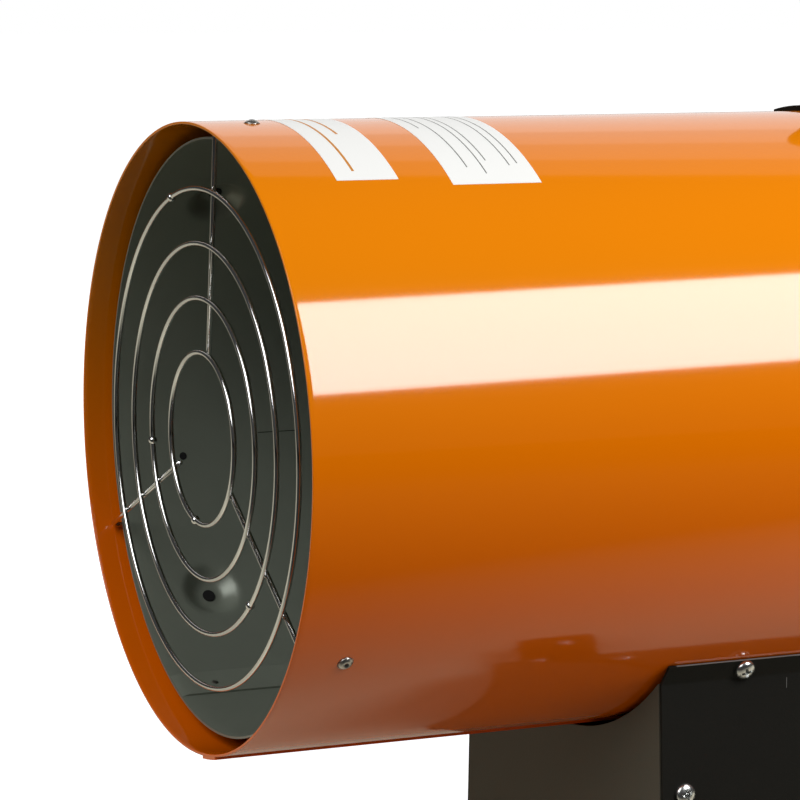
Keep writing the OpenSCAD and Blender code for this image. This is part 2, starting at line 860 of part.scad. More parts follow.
// Sheet disc behind the flame cup, with a rim and air slots
module burner_plate() color("silver") {
    at_axis(burner_y) rearwards() difference() {
        union() {
            cylinder(d = burner_plate_d, h = burner_t);
            translate([0, 0, -plate_rim])
                tube(burner_plate_d, burner_plate_d - 2 * burner_t, plate_rim + weld);
        }
        translate([0, 0, -cut]) {
            cylinder(d = holder_d + 2 * snug, h = burner_t + 2 * cut);
            for (c = clocks(plate_slots, 0)) rotate([0, 0, c])
                translate([plate_slot_r, 0, 0]) {
                    translate([0, -plate_slot_w / 2, 0])
                        cube([plate_slot_len - plate_slot_w, plate_slot_w, burner_t + 2 * cut]);
                    for (end = [0, 1]) translate([end * (plate_slot_len - plate_slot_w), 0, 0])
                        cylinder(d = plate_slot_w, h = burner_t + 2 * cut);
                }
            for (p = [[1, insulator_d], [-1, thermo_d]]) translate([p[0] * probe_x, -probe_up, 0])
                cylinder(d = p[1] + 2 * probe_hole_gap, h = burner_t + 2 * cut);
        }
    }
}

// Place of the electrode or of the thermocouple, seen along the axis
module at_probe(side) translate([side * probe_x, 0, probe_up]) children();

// Conical cup that opens to the outlet and holds the flame
module flame_cup() color("lightsteelblue") {
    floor_r = cup_floor_d / 2;
    mouth_r = cup_mouth_d / 2;
    wall = burner_t * norm([mouth_r - floor_r, cup_depth]) / cup_depth;
    at_axis(burner_y) rearwards() difference() {
        rotate_extrude() polygon([
            [holder_d / 2 + snug, 0],
            [floor_r, 0],
            [mouth_r, burner_t - cup_depth],
            [mouth_r + cup_lip, burner_t - cup_depth],
            [mouth_r + cup_lip, -cup_depth],
            [mouth_r - wall, -cup_depth],
            [floor_r - wall, -burner_t],
            [holder_d / 2 + snug, -burner_t],
        ]);
        for (row = [1:cup_hole_rows], c = clocks(cup_holes, row * 180 / cup_holes)) {
            share = row / (cup_hole_rows + 1);
            row_r = floor_r + share * (mouth_r - floor_r);
            rotate([0, 0, c]) translate([row_r - cup_hole_d, 0, -share * cup_depth])
                rotate([0, 90, 0]) cylinder(d = cup_hole_d, h = 2 * cup_hole_d);
        }
        translate([0, 0, -cup_depth - cut]) for (p = [[1, electrode_d], [-1, thermo_d]])
            translate([p[0] * probe_x, -probe_up, 0])
                cylinder(d = p[1] + 2 * probe_slack, h = cup_depth);
    }
}

BRACKET_FOOT_R = sqrt(pow(bore_r - seat, 2) - pow(bracket_w / 2, 2));

// Strap that stands on the casing's bottom and carries the burner on its axis
module burner_bracket() color("silver") {
    difference() {
        at_axis(burner_y + burner_t) {
            translate([-bracket_w / 2, 0, -BRACKET_FOOT_R]) cube([bracket_w, bracket_t, BRACKET_FOOT_R]);
            rearwards() cylinder(d = bracket_w, h = bracket_t);
            translate([-bracket_w / 2, 0, -BRACKET_FOOT_R])
                cube([bracket_w, bracket_t + bracket_foot, bracket_t]);
        }
        at_axis(burner_y) rearwards() cylinder(d = holder_d + 2 * snug, h = burner_t + bracket_t + cut);
        at_axis(BRACKET_SCREW_Y) at_clock(180, BRACKET_FOOT_R - bracket_t - cut)
            cylinder(d = SHANK_HOLE, h = bracket_t + 2 * cut);
    }
}

module bracket_screws() color("silver") {
    at_axis(BRACKET_SCREW_Y) at_clock(180, casing_r) pan_screw(screw_len);
    at_axis(STAT_SCREW_Y) at_clock(0, casing_r) pan_screw(screw_len);
}

HOLDER_FRONT_Y = burner_y - burner_t - holder_nut_h - holder_front;

// Brass holder whose thread clamps the cup, the plate and the bracket between hexagon and nut
module nozzle_holder() color("goldenrod") {
    difference() {
        union() {
            at_axis(HOLDER_FRONT_Y) rearwards()
                cylinder(d = holder_d, h = bracket_back_y - HOLDER_FRONT_Y + weld);
            at_axis(bracket_back_y) rearwards() hex_bar(holder_af, holder_hex_len);
        }
        at_axis(HOLDER_FRONT_Y - cut) rearwards()
            cylinder(d = nozzle_tip_d, h = holder_back_y - HOLDER_FRONT_Y + 2 * cut);
    }
}

module holder_nut() color("goldenrod") {
    at_axis(burner_y - burner_t - holder_nut_h) rearwards()
        hex_nut(holder_nut_af, holder_nut_h, holder_d + 2 * snug);
}

module gas_nozzle() color("gold") {
    at_axis(HOLDER_FRONT_Y) rearwards() mirror([0, 0, 1]) difference() {
        union() {
            cylinder(d = nozzle_d, h = nozzle_len / 2);
            translate([0, 0, nozzle_len / 2]) cylinder(d1 = nozzle_d, d2 = nozzle_tip_d, h = nozzle_len / 2);
        }
        translate([0, 0, -cut]) cylinder(d = nozzle_hole_d, h = nozzle_len + 2 * cut);
    }
}

module gas_pipe() color("peru") {
    bent_bar([
        [0, holder_back_y, axis_h],
        [0, pipe_drop_y, axis_h],
        [0, pipe_drop_y, outlet_z],
        [0, outlet_y, outlet_z],
        [outlet_x, outlet_y, outlet_z],
    ], pipe_bend_r, pipe_d);
}

module pipe_nuts() color("goldenrod") {
    at_axis(holder_back_y) rearwards() hex_nut(pipe_nut_af, pipe_nut_len, pipe_d + 2 * snug);
    translate([outlet_x, outlet_y, outlet_z]) rotate([0, 90, 0])
        hex_nut(pipe_nut_af, pipe_nut_len, pipe_d + 2 * snug);
}

module electrode_insulator() color("white") {
    at_axis(burner_y) at_probe(1) rearwards() difference() {
        union() {
            translate([0, 0, -insulator_front])
                cylinder(d = insulator_d, h = insulator_front + burner_t + insulator_back);
            translate([0, 0, burner_t]) cylinder(d = insulator_collar_d, h = insulator_collar);
        }
        translate([0, 0, -insulator_front - cut])
            cylinder(d = electrode_d + 2 * snug, h = insulator_front + burner_t + insulator_back + 2 * cut);
    }
}

// Spark wire that runs through the insulator and bends inwards inside the cup
module electrode_wire() color("gray") {
    tip_y = burner_y - electrode_front;
    bent_bar([
        [probe_x, burner_y + burner_t + insulator_back, probe_z],
        [probe_x, tip_y, probe_z],
        [probe_x - electrode_tip, tip_y, probe_z],
    ], electrode_d, electrode_d);
}

module igniter_lead() color("black") {
    terminal_y = igniter_front_y - igniter_pin_len;
    bent_bar([
        [probe_x, burner_y + burner_t + insulator_back, probe_z],
        [probe_x, pipe_drop_y, probe_z],
        [probe_x, pipe_drop_y, valve_z],
        [probe_x, terminal_y - lead_run_in, valve_z],
        [0, terminal_y - lead_run_in, valve_z],
        [0, terminal_y, valve_z],
    ], lead_bend_r, igniter_lead_d);
}

module thermocouple() color("peru") {
    at_axis(burner_y) at_probe(-1) rearwards() {
        translate([0, 0, -thermo_front]) cylinder(d = thermo_d, h = thermo_front + burner_t + thermo_back);
        translate([0, 0, burner_t]) hex_bar(thermo_nut_af, thermo_nut_h);
    }
}

module thermocouple_lead() color("peru") {
    end_y = valve_front_y - magnet_len - thermo_end_len;
    bent_bar([
        [-probe_x, burner_y + burner_t + thermo_back, probe_z],
        [-probe_x, thermo_drop_y, probe_z],
        [-probe_x, thermo_drop_y, valve_z],
        [valve_x, thermo_drop_y, valve_z],
        [valve_x, end_y + weld, valve_z],
    ], thermo_bend_r, thermo_lead_d);
    translate([valve_x, end_y, valve_z]) rearwards() hex_bar(thermo_end_af, thermo_end_len);
}

STAT_FOOT_R = sqrt(pow(bore_r - seat, 2) - pow(stat_bracket_w / 2, 2));

module limit_thermostat() color("darkgray") {
    stat_z = STAT_FOOT_R - stat_drop + thermostat_d / 2;
    at_axis(stat_y) translate([0, 0, stat_z]) rearwards() mirror([0, 0, 1]) {
        cylinder(d = thermostat_d, h = thermostat_h);
        translate([-thermostat_ear_w / 2, -stat_bracket_w / 2, 0])
            cube([thermostat_ear_w, stat_bracket_w, thermostat_ear_t]);
    }
}

module thermostat_bracket() color("silver") {
    difference() {
        at_axis(stat_y) {
            translate([-stat_bracket_w / 2, 0, STAT_FOOT_R - stat_drop])
                cube([stat_bracket_w, stat_bracket_t, stat_drop]);
            translate([-stat_bracket_w / 2, 0, STAT_FOOT_R - stat_bracket_t])
                cube([stat_bracket_w, stat_foot, stat_bracket_t]);
        }
        at_axis(STAT_SCREW_Y) at_clock(0, STAT_FOOT_R - stat_bracket_t - cut)
            cylinder(d = SHANK_HOLE, h = stat_bracket_t + 2 * cut);
    }
}

// Sleeves with a lip on each side of the casing's sheet, cut to its curve
module grommets() color("black") {
    for (p = PASSES) difference() {
        intersection() {
            bottom_hole(p[0], p[1], sleeve_d(p[2]) + 2 * grommet_lip);
            at_axis(p[1] - casing_r / 2) rearwards()
                tube(casing_d + 2 * (grommet_lip + seat), 2 * (bore_r - grommet_lip - seat), casing_r);
        }
        difference() {
            at_axis(p[1] - casing_r) rearwards() tube(casing_d + 2 * seat, 2 * bore_r - 2 * seat, casing_d);
            bottom_hole(p[0], p[1], sleeve_d(p[2]));
        }
        bottom_hole(p[0], p[1], p[2] + 2 * grommet_gap);
    }
}

// Cross-section of the base, drawn in X and Z, with its outline drawn in by inset
module base_section(inset) {
    polygon([
        [-base_w / 2 - base_out + inset, base_z + inset],
        [base_w / 2 + base_out - inset, base_z + inset],
        [base_w / 2 - inset, bend_z],
        [-base_w / 2 + inset, bend_z],
    ]);
}

module casing_arc() translate([0, axis_h]) circle(r = casing_r + arc_gap);

// Outline of the folded sheet's rim: its floor and its two sides
module base_rim() {
    difference() {
        base_section(0);
        base_section(base_t);
        translate([-base_w / 2 + base_t, bend_z - base_t - cut])
            square([base_w - 2 * base_t, base_t + 2 * cut]);
        casing_arc();
    }
}

// One sheet folded into floor, front panel and rear panel, with return flanges for the side covers
module base_frame() color("dimgray") {
    difference() {
        union() {
            for (y = [base_y, base_end - base_t]) upright(y, base_t) difference() {
                base_section(0);
                casing_arc();
            }
            for (y = [base_y, base_end - return_w]) upright(y, return_w) base_rim();
            upright(base_y, base_len) difference() {
                base_section(0);
                base_section(base_t);
                translate([-base_w, base_z + lip_h]) square([2 * base_w, axis_h]);
            }
        }
        for (side = [0, 1]) at_cover_screws(side)
            translate([0, 0, -screw_len]) cylinder(d = SHANK_HOLE, h = 2 * screw_len);
        at_rail_screws() translate([0, 0, -base_t - cut]) cylinder(d = SHANK_HOLE, h = base_t + 2 * cut);
        at_panel_cut(valve_x, valve_z) cylinder(d = valve_neck_d + 2 * shank_gap, h = base_t + 2 * cut);
        at_panel_cut(valve_x, valve_z - inlet_drop)
            cylinder(d = inlet_body_d + 2 * shank_gap, h = base_t + 2 * cut);
        at_panel_cut(0, valve_z) cylinder(d = igniter_d + 2 * shank_gap, h = base_t + 2 * cut);
        at_panel_cut(gland_x, valve_z - gland_drop)
            cylinder(d = gland_body_d + 2 * shank_gap, h = base_t + 2 * cut);
        at_panel_cut(switch_x, valve_z)
            translate([-switch_w / 2 - shank_gap, -switch_h / 2 - shank_gap, 0])
                cube([switch_w + 2 * shank_gap, switch_h + 2 * shank_gap, base_t + 2 * cut]);
    }
}

// Children start inside the rear panel and run out through it
module at_panel_cut(x, z) on_panel(x, z) translate([0, 0, -base_t - cut]) children();

function arc_points(centre, r, from, to) =
    [for (i = [0:bend_steps]) let (a = from + (to - from) * i / bend_steps) centre - r * [cos(a), sin(a)]];

// Side sheet and top flange as one bent strip, which leans against the casing at its upper edge
module cover_section() {
    bend = [cover_out, bend_z];
    side_out = [cos(base_splay), sin(base_splay)];
    flange_out = [cos(flange_lean), -sin(flange_lean)];
    half = (base_splay + flange_lean) / 2;
    centre = bend + unit(side_out + flange_out) * cover_bend_r / cos(half);
    foot = [cover_out + base_out, base_z];
    top = bend + flange_len * [sin(flange_lean), cos(flange_lean)];
    polygon(concat(
        [foot],
        arc_points(centre, cover_bend_r, base_splay, -flange_lean),
        [top, top - base_t * flange_out],
        arc_points(centre, cover_bend_r + base_t, -flange_lean, base_splay),
        [foot - [base_t / cos(base_splay), 0]]
    ));
}

module side_cover(side) {
    flange_top = bend_z + flange_len * cos(flange_lean) + base_t;
    difference() {
        mirror([side, 0, 0]) {
            difference() {
                upright(base_y + cover_setback, base_len - 2 * cover_setback) cover_section();
                for (end = [0, 1]) translate([0, base_y + base_len / 2, 0]) mirror([0, end, 0])
                    rotate([90, 0, 90]) linear_extrude(base_w) polygon([
                        [-base_len / 2 - cut, bend_z],
                        [cover_setback - base_len / 2, bend_z],
                        [flange_mitre - base_len / 2, flange_top],
                        [-base_len / 2 - cut, flange_top],
                    ]);
            }
        }
        at_cover_screws(side) translate([0, 0, -2 * base_t]) cylinder(d = SHANK_HOLE, h = 2 * base_t + cut);
        at_flange_screws() translate([0, 0, -2 * base_t]) cylinder(d = SHANK_HOLE, h = 2 * base_t + cut);
    }
}

module side_cover_right() color("black") side_cover(0);
module side_cover_left() color("black") side_cover(1);

module cover_screws() color("silver") for (side = [0, 1]) at_cover_screws(side) pan_screw(screw_len);

module flange_screws() color("silver") at_flange_screws() pan_screw(flange_screw_len);

module at_rails() for (y = [base_y + rail_inset, base_end - rail_inset]) translate([0, y, 0]) children();

module at_rail_screws()
    for (side = [-1, 1]) at_rails() translate([side * rail_screw_x, 0, base_z + base_t]) children();

// Channel that lies open side down across the base's floor
module foot_rail(y) {
    translate([0, y, 0]) difference() {
        translate([-rail_len / 2, -rail_w / 2, foot_show]) cube([rail_len, rail_w, rail_h]);
        translate([-rail_len / 2 - cut, rail_t - rail_w / 2, foot_show - cut])
            cube([rail_len + 2 * cut, rail_w - 2 * rail_t, rail_h - rail_t + cut]);
        for (side = [0, 1]) mirror([side, 0, 0]) {
            translate([rail_len / 2 - foot_inset, 0, foot_show]) cylinder(d = SHANK_HOLE, h = rail_h + cut);
            translate([rail_screw_x, 0, foot_show]) cylinder(d = SHANK_HOLE, h = rail_h + cut);
            translate([rail_len / 2, -rail_w / 2 - cut, foot_show - cut]) rotate([0, 45, 0])
                cube([rail_corner, rail_w + 2 * cut, rail_corner]);
        }
    }
}

module foot_rail_front() color("black") foot_rail(base_y + rail_inset);
module foot_rail_rear() color("black") foot_rail(base_end - rail_inset);

module at_feet()
    for (side = [-1, 1]) at_rails() translate([side * (rail_len / 2 - foot_inset), 0, 0]) children();

module rubber_feet() color("dimgray") {
    at_feet() difference() {
        union() {
            cylinder(d1 = foot_d - 2 * foot_chamfer, d2 = foot_d, h = foot_chamfer);
            translate([0, 0, foot_chamfer]) cylinder(d = foot_d, h = base_z - rail_t - foot_chamfer);
        }
        translate([0, 0, base_z - foot_screw_len]) cylinder(d = screw_d + 2 * snug, h = foot_screw_len);
    }
}

module foot_screws() color("silver") at_feet() translate([0, 0, base_z]) pan_screw(foot_screw_len - cut);

module rail_screws() color("silver") at_rail_screws() pan_screw(screw_len);

// Valve block: a round body with its magnet head, an arm with the gas inlet and a boss for the pipe
module gas_valve() color("goldenrod") {
    difference() {
        union() {
            translate([valve_x, valve_front_y, valve_z]) rearwards() {
                cylinder(d = valve_d, h = valve_len);
                translate([0, 0, -magnet_len]) hex_bar(magnet_af, magnet_len + weld);
                cylinder(d = valve_neck_d, h = base_end + valve_neck_out - valve_front_y);
            }
            translate([valve_x - arm_w / 2, valve_front_y, valve_z - inlet_drop - arm_w / 2])
                cube([arm_w, valve_len, inlet_drop + arm_w / 2]);
            translate([valve_x, outlet_y, outlet_z]) rotate([0, 90, 0])
                cylinder(d = outlet_boss_d, h = outlet_boss_out);
        }
        on_panel(valve_x, valve_z) translate([0, 0, valve_neck_out - valve_bore_len])
            cylinder(d = valve_button_d + 2 * slide_gap, h = valve_bore_len + cut);
    }
}

module valve_nut() color("silver") {
    on_panel(valve_x, valve_z) hex_nut(valve_nut_af, valve_nut_h, valve_neck_d + 2 * snug);
}

module valve_button() color("red") {
    out = valve_stroke + valve_cap_gap;
    on_panel(valve_x, valve_z) translate([0, 0, valve_neck_out]) {
        translate([0, 0, out - valve_button_len]) cylinder(d = valve_button_d, h = valve_button_len + weld);
        translate([0, 0, out]) cylinder(d = valve_cap_d, h = valve_cap_len - valve_cap_edge);
        translate([0, 0, out + valve_cap_len - valve_cap_edge])
            cylinder(d1 = valve_cap_d, d2 = valve_cap_d - 2 * valve_cap_edge, h = valve_cap_edge);
    }
}

// Inlet nipple: round body through the panel, hexagon, and the hose thread on its undercut core
module gas_inlet_fitting() color("gold") {
    inlet_end = inlet_collar + inlet_hex_len + inlet_undercut + inlet_thread_len;
    on_panel(valve_x, valve_z - inlet_drop) difference() {
        union() {
            translate([0, 0, valve_back_y - base_end])
                cylinder(d = inlet_body_d, h = base_end - valve_back_y + inlet_collar + weld);
            translate([0, 0, inlet_collar]) hex_bar(inlet_af, inlet_hex_len);
            translate([0, 0, inlet_collar + inlet_hex_len - weld])
                cylinder(d = inlet_body_d, h = inlet_undercut + 2 * weld);
            translate([0, 0, inlet_collar + inlet_hex_len + inlet_undercut])
                cylinder(d = inlet_thread_d, h = inlet_thread_len);
        }
        translate([0, 0, -return_w])
            cylinder(d = inlet_bore_d, h = return_w + inlet_end + 2 * cut);
    }
}

module igniter_body() color("black") {
    on_panel(0, valve_z) difference() {
        union() {
            translate([0, 0, -base_t - igniter_len]) cylinder(d = igniter_d, h = igniter_len + base_t + weld);
            cylinder(d = igniter_flange_d, h = igniter_flange_h);
            translate([0, 0, -base_t - igniter_len - igniter_pin_len])
                cylinder(d = igniter_pin_d, h = igniter_pin_len + weld);
        }
        translate([0, 0, igniter_flange_h - igniter_button_in - igniter_stroke - cut])
            cylinder(d = igniter_button_d + 2 * slide_gap, h = igniter_button_in + igniter_stroke + 2 * cut);
    }
}

module igniter_nut() color("black") {
    on_panel(0, valve_z) translate([0, 0, -base_t - igniter_nut_h])
        hex_nut(igniter_nut_af, igniter_nut_h, igniter_d + 2 * snug);
}

module igniter_button() color("red") {
    on_panel(0, valve_z) translate([0, 0, igniter_flange_h]) {
        translate([0, 0, -igniter_button_in])
            cylinder(d = igniter_button_d, h = igniter_button_in + igniter_button_out - igniter_edge);
        translate([0, 0, igniter_button_out - igniter_edge])
            cylinder(d1 = igniter_button_d, d2 = igniter_button_d - 2 * igniter_edge, h = igniter_edge);
    }
}

HINGE_Y = base_end + rocker_back;

// Switch housing: bezel outside the panel, box behind it, an open well for the rocker, three tabs
module switch_body() color("black") {
    well_w = rocker_w + 2 * rocker_gap;
    well_h = 2 * (rocker_r + rocker_gap);
    well_d = rocker_under + rocker_r * sin(rocker_tilt) + rocker_gap;
    difference() {
        union() {
            translate([switch_x - switch_w / 2, base_end - switch_depth, valve_z - switch_h / 2])
                cube([switch_w, switch_depth + weld, switch_h]);
            translate([switch_x - bezel_w / 2, base_end, valve_z - bezel_h / 2])
                cube([bezel_w, bezel_t, bezel_h]);
            for (i = [-1, 0, 1])
                translate([switch_x, base_end - switch_depth - tab_len, valve_z + i * tab_step])
                    translate([-tab_w / 2, 0, -tab_t / 2]) cube([tab_w, tab_len + weld, tab_t]);
        }
        translate([switch_x - well_w / 2, HINGE_Y - well_d, valve_z - well_h / 2])
            cube([well_w, well_d + bezel_t + cut, well_h]);
        translate([switch_x - well_w / 2 - rocker_pin_len, HINGE_Y, valve_z]) rotate([0, 90, 0])
            cylinder(d = rocker_pin_d + 2 * run_gap, h = well_w + 2 * rocker_pin_len);
    }
}

// Rocker drawn in its off position, on two short pins
module switch_rocker() color("red") {
    pins = rocker_w + 2 * rocker_pin_len;
    translate([switch_x, HINGE_Y, valve_z]) rotate([-rocker_tilt, 0, 0]) {
        translate([-rocker_w / 2, 0, 0]) rotate([90, 0, 90]) linear_extrude(rocker_w) intersection() {
            circle(r = rocker_r);
            polygon([
                [-rocker_under, -rocker_r], [rocker_rise, -rocker_r], [rocker_face, 0],
                [rocker_rise, rocker_r], [-rocker_under, rocker_r],
            ]);
        }
        translate([-pins / 2, 0, 0]) rotate([0, 90, 0]) cylinder(d = rocker_pin_d, h = pins);
    }
}

// Gland with its hexagon and a tapered cap, bored for the supply cable
module cable_gland() color("black") {
    on_panel(gland_x, valve_z - gland_drop) difference() {
        union() {
            translate([0, 0, -gland_in]) cylinder(d = gland_body_d, h = gland_in + weld);
            hex_bar(gland_af, gland_hex_h);
            translate([0, 0, gland_hex_h - weld])
                cylinder(d = gland_cap_d, h = gland_cap_len / 2 + weld);
            translate([0, 0, gland_hex_h + gland_cap_len / 2])
                cylinder(d1 = gland_cap_d, d2 = gland_cap_tip_d, h = gland_cap_len / 2);
        }
        translate([0, 0, -gland_in - cut])
            cylinder(d = gland_bore_d, h = gland_in + gland_hex_h + gland_cap_len + 2 * cut);
    }
}

module gland_nut() color("black") {
    on_panel(gland_x, valve_z - gland_drop) translate([0, 0, -base_t - gland_nut_h])
        hex_nut(gland_nut_af, gland_nut_h, gland_body_d + 2 * snug);
}

module terminal_block() color("white") {
    step = terminal_l / terminal_ways;
    translate([terminal_x, base_end - terminal_in, base_z + base_t]) difference() {
        translate([-terminal_l / 2, -terminal_w / 2, 0]) cube([terminal_l, terminal_w, terminal_h]);
        for (i = [0:terminal_ways - 1]) translate([(i + 1 / 2) * step - terminal_l / 2, 0, terminal_h / 2])
            cylinder(d = terminal_screw_d, h = terminal_h);
    }
}

module motor_lead() color("black") {
    lead_z = base_z + base_t + terminal_h / 2;
    can_z = axis_h - motor_d / 2 - motor_gland_out;
    run_z = axis_h - bore_r + motor_lead_floor;
    end_y = base_end - terminal_in + terminal_w / 2;
    bent_bar([
        [motor_lead_x, motor_mid_y, can_z],
        [motor_lead_x, motor_mid_y, run_z],
        [motor_lead_x, motor_hole_y, run_z],
        [motor_lead_x, motor_hole_y, lead_z],
        [motor_lead_x, end_y + terminal_l, lead_z],
        [terminal_x, end_y + terminal_l, lead_z],
        [terminal_x, end_y, lead_z],
    ], lead_bend_r, motor_lead_d);
}

SADDLE_R = casing_r + seat + saddle_t;
LEG_YS = [leg_y - handle_span / 2, leg_y + handle_span / 2];

module at_handle_screws()
    for (y = LEG_YS, c = [-saddle_screw_angle, saddle_screw_angle])
        at_axis(y) at_clock(c, SADDLE_R) children();

// Bent bar on two saddles that follow the casing's curve
module carry_handle() color("black") {
    bar_z = axis_h + casing_r + handle_rise;
    foot_z = axis_h + SADDLE_R - weld;
    difference() {
        union() {
            bent_bar([
                [0, LEG_YS[0], foot_z],
                [0, LEG_YS[0], bar_z],
                [0, LEG_YS[1], bar_z],
                [0, LEG_YS[1], foot_z],
            ], handle_bend_r, handle_d);
            for (y = LEG_YS) intersection() {
                at_axis(y - saddle_l / 2) rearwards() tube(2 * SADDLE_R, casing_d + 2 * seat, saddle_l);
                translate([-saddle_w / 2, y - saddle_l / 2, axis_h]) cube([saddle_w, saddle_l, casing_d]);
            }
        }
        at_handle_screws()
            translate([0, 0, -saddle_t - cut]) cylinder(d = SHANK_HOLE, h = saddle_t + 2 * cut);
    }
}

module handle_grip() color("dimgray") {
    ribs = floor((grip_len - grip_groove_w) / grip_rib_step);
    translate([0, leg_y - grip_len / 2, axis_h + casing_r + handle_rise]) rearwards() difference() {
        union() {
            cylinder(d = grip_d - 2 * grip_rib, h = grip_len);
            for (i = [0:ribs]) translate([0, 0, i * (grip_len - grip_rib_step + grip_groove_w) / ribs])
                cylinder(d = grip_d, h = grip_rib_step - grip_groove_w);
        }
        translate([0, 0, -cut]) cylinder(d = handle_d + 2 * grip_gap, h = grip_len + 2 * cut);
    }
}

module handle_screws() color("silver") at_handle_screws() pan_screw(handle_screw_len);

outer_casing();
combustion_liner();
liner_rivets();
outlet_grille();
grille_rivets();
rear_guard();
guard_screws();
motor_strap();
strap_screws();
motor_body();
motor_bushes();
motor_nuts();
motor_shaft();
fan_impeller();
fan_nut();
burner_plate();
flame_cup();
burner_bracket();
bracket_screws();
nozzle_holder();
holder_nut();
gas_nozzle();
gas_pipe();
pipe_nuts();
electrode_insulator();
electrode_wire();
igniter_lead();
thermocouple();
thermocouple_lead();
limit_thermostat();
thermostat_bracket();
grommets();
base_frame();
side_cover_left();
side_cover_right();
cover_screws();
flange_screws();
foot_rail_front();
foot_rail_rear();
rubber_feet();
foot_screws();
rail_screws();
gas_valve();
valve_nut();
valve_button();
gas_inlet_fitting();
igniter_body();
igniter_nut();
igniter_button();
switch_body();
switch_rocker();
cable_gland();
gland_nut();
terminal_block();
motor_lead();
carry_handle();
handle_grip();
handle_screws();
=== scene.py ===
# %% [markdown]
# A gas forced air heater for a workshop: a rolled steel casing painted bright orange, with a
# wire grille over the hot air outlet, a burner and a fan on its axis, and a dark sheet base
# that carries the gas valve, the igniter and the switch. The CAD model is loaded first and
# stays where it is. Everything below either gives one of its pieces a finish or dresses it
# with a finer piece that sits in the same place.

# %% Load the frame
import json
import bmesh
import bpy
from math import cos, pi, radians, sin, sqrt, tan
from mathutils import Matrix, Vector


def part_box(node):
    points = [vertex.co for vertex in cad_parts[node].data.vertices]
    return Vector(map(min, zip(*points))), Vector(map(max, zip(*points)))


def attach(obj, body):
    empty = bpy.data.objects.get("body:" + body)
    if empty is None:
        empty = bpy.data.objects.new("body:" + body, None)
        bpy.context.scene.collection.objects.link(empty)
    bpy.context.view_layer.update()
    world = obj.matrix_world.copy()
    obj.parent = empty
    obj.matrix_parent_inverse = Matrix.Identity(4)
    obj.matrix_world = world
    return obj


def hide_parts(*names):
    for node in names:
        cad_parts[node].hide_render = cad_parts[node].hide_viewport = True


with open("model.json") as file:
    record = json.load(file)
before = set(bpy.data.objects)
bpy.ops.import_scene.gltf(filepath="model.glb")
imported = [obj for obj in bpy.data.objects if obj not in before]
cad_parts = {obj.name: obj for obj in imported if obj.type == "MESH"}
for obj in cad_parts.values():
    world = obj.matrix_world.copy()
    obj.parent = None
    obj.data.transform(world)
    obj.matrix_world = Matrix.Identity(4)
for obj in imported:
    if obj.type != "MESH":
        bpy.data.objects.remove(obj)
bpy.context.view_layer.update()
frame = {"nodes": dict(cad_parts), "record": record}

NODES = frame["nodes"]

# %% [markdown]
# The pieces are placed with the same sizes as the CAD model has, and the main ones are read
# from its nodes. The heater's axis runs along Y at a height of 250 mm, and most places are
# known as a distance behind the front rim and an angle from the top, so one helper turns such
# a pair into a point.

# %% Sizes in metres
MM = 0.001
LOW, HIGH = 0, 1
X, Y, Z = 0, 1, 2
DIGITS = 4


def cad_end(node, end, axis):
    """Where a CAD node starts (LOW) or ends (HIGH) along an axis, to a tenth of a mm."""
    return round(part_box(node)[end][axis], DIGITS)


CASING_R = cad_end("outer_casing", HIGH, X)
AXIS_H = cad_end("outer_casing", HIGH, Z) - CASING_R
FRONT_Y = cad_end("outer_casing", LOW, Y)
CASING_LEN = cad_end("outer_casing", HIGH, Y) - FRONT_Y
CASING_T = 1 * MM
BORE_R = CASING_R - CASING_T
LINER_GAP = 4.7 * MM
LINER_R = BORE_R - LINER_GAP
LINER_T = 0.8 * MM
MAIN_BODY = "heater"
print("axis at", round(AXIS_H / MM, 2), "mm, casing", round(CASING_LEN / MM, 2), "mm long")


def on_round(clock, radius, behind):
    """A point at an angle from the top towards the near side, behind the front rim."""
    a = radians(clock)
    return Vector((radius * sin(a), FRONT_Y + behind, AXIS_H + radius * cos(a)))


def outward(clock):
    """The direction straight out of the casing at that angle."""
    a = radians(clock)
    return Vector((sin(a), 0, cos(a)))


# %% [markdown]
# The camera stands where the photographer stood: low, close to the outlet's height, and a
# little over a metre away. Its place and angles were worked out from the round front rim,
# which the photograph shows as an ellipse. A long lens gives the flat perspective.

# %% Camera
CAMERA_PLACE = (1.12405, -0.68114, 0.41119)
CAMERA_TURN = radians(65.36076)
CAMERA_PITCH = radians(6.96137)
LENS_MM = 150.49
SENSOR_MM = 36
SEES_UP_TO = 400
camera_data = bpy.data.cameras.new("photo_camera")
camera_data.sensor_width = SENSOR_MM
camera_data.lens = LENS_MM
camera_data.clip_end = SEES_UP_TO
camera = bpy.data.objects.new("photo_camera", camera_data)
camera.location = CAMERA_PLACE
camera.rotation_euler = (pi / 2 - CAMERA_PITCH, 0, CAMERA_TURN)
bpy.context.scene.collection.objects.link(camera)
bpy.context.scene.camera = camera
print("camera at", CAMERA_PLACE)

# %% [markdown]
# The heater was photographed in a plain white studio. One soft box on the near side gives
# both the main light and the bright band along the casing: the band's edges in the
# photograph, reflected at the round casing, give the soft box's place, size and slant. A
# wide screen on the far side whitens the top of the casing. It fades upwards, so it is made
# of four cards that overlap. A softer lamp shines into the outlet, and the world gives an
# even fill that polished faces see as a dark room.

# %% World
scene = bpy.context.scene
scene.view_settings.view_transform = "Standard"
world = bpy.data.worlds.new("studio")
scene.world = world
world.use_nodes = True
sky = world.node_tree
sky.nodes.clear()
sky_out = sky.nodes.new("ShaderNodeOutputWorld")
rays = sky.nodes.new("ShaderNodeLightPath")
FILL_LEVEL = 0.14
DARK_LEVEL = 0.04
SEEN_LEVEL = 1.0


def plain_sky(level):
    """A plain white background that shines at that level."""
    made = sky.nodes.new("ShaderNodeBackground")
    made.inputs["Color"].default_value = (1, 1, 1, 1)
    made.inputs["Strength"].default_value = level
    return made


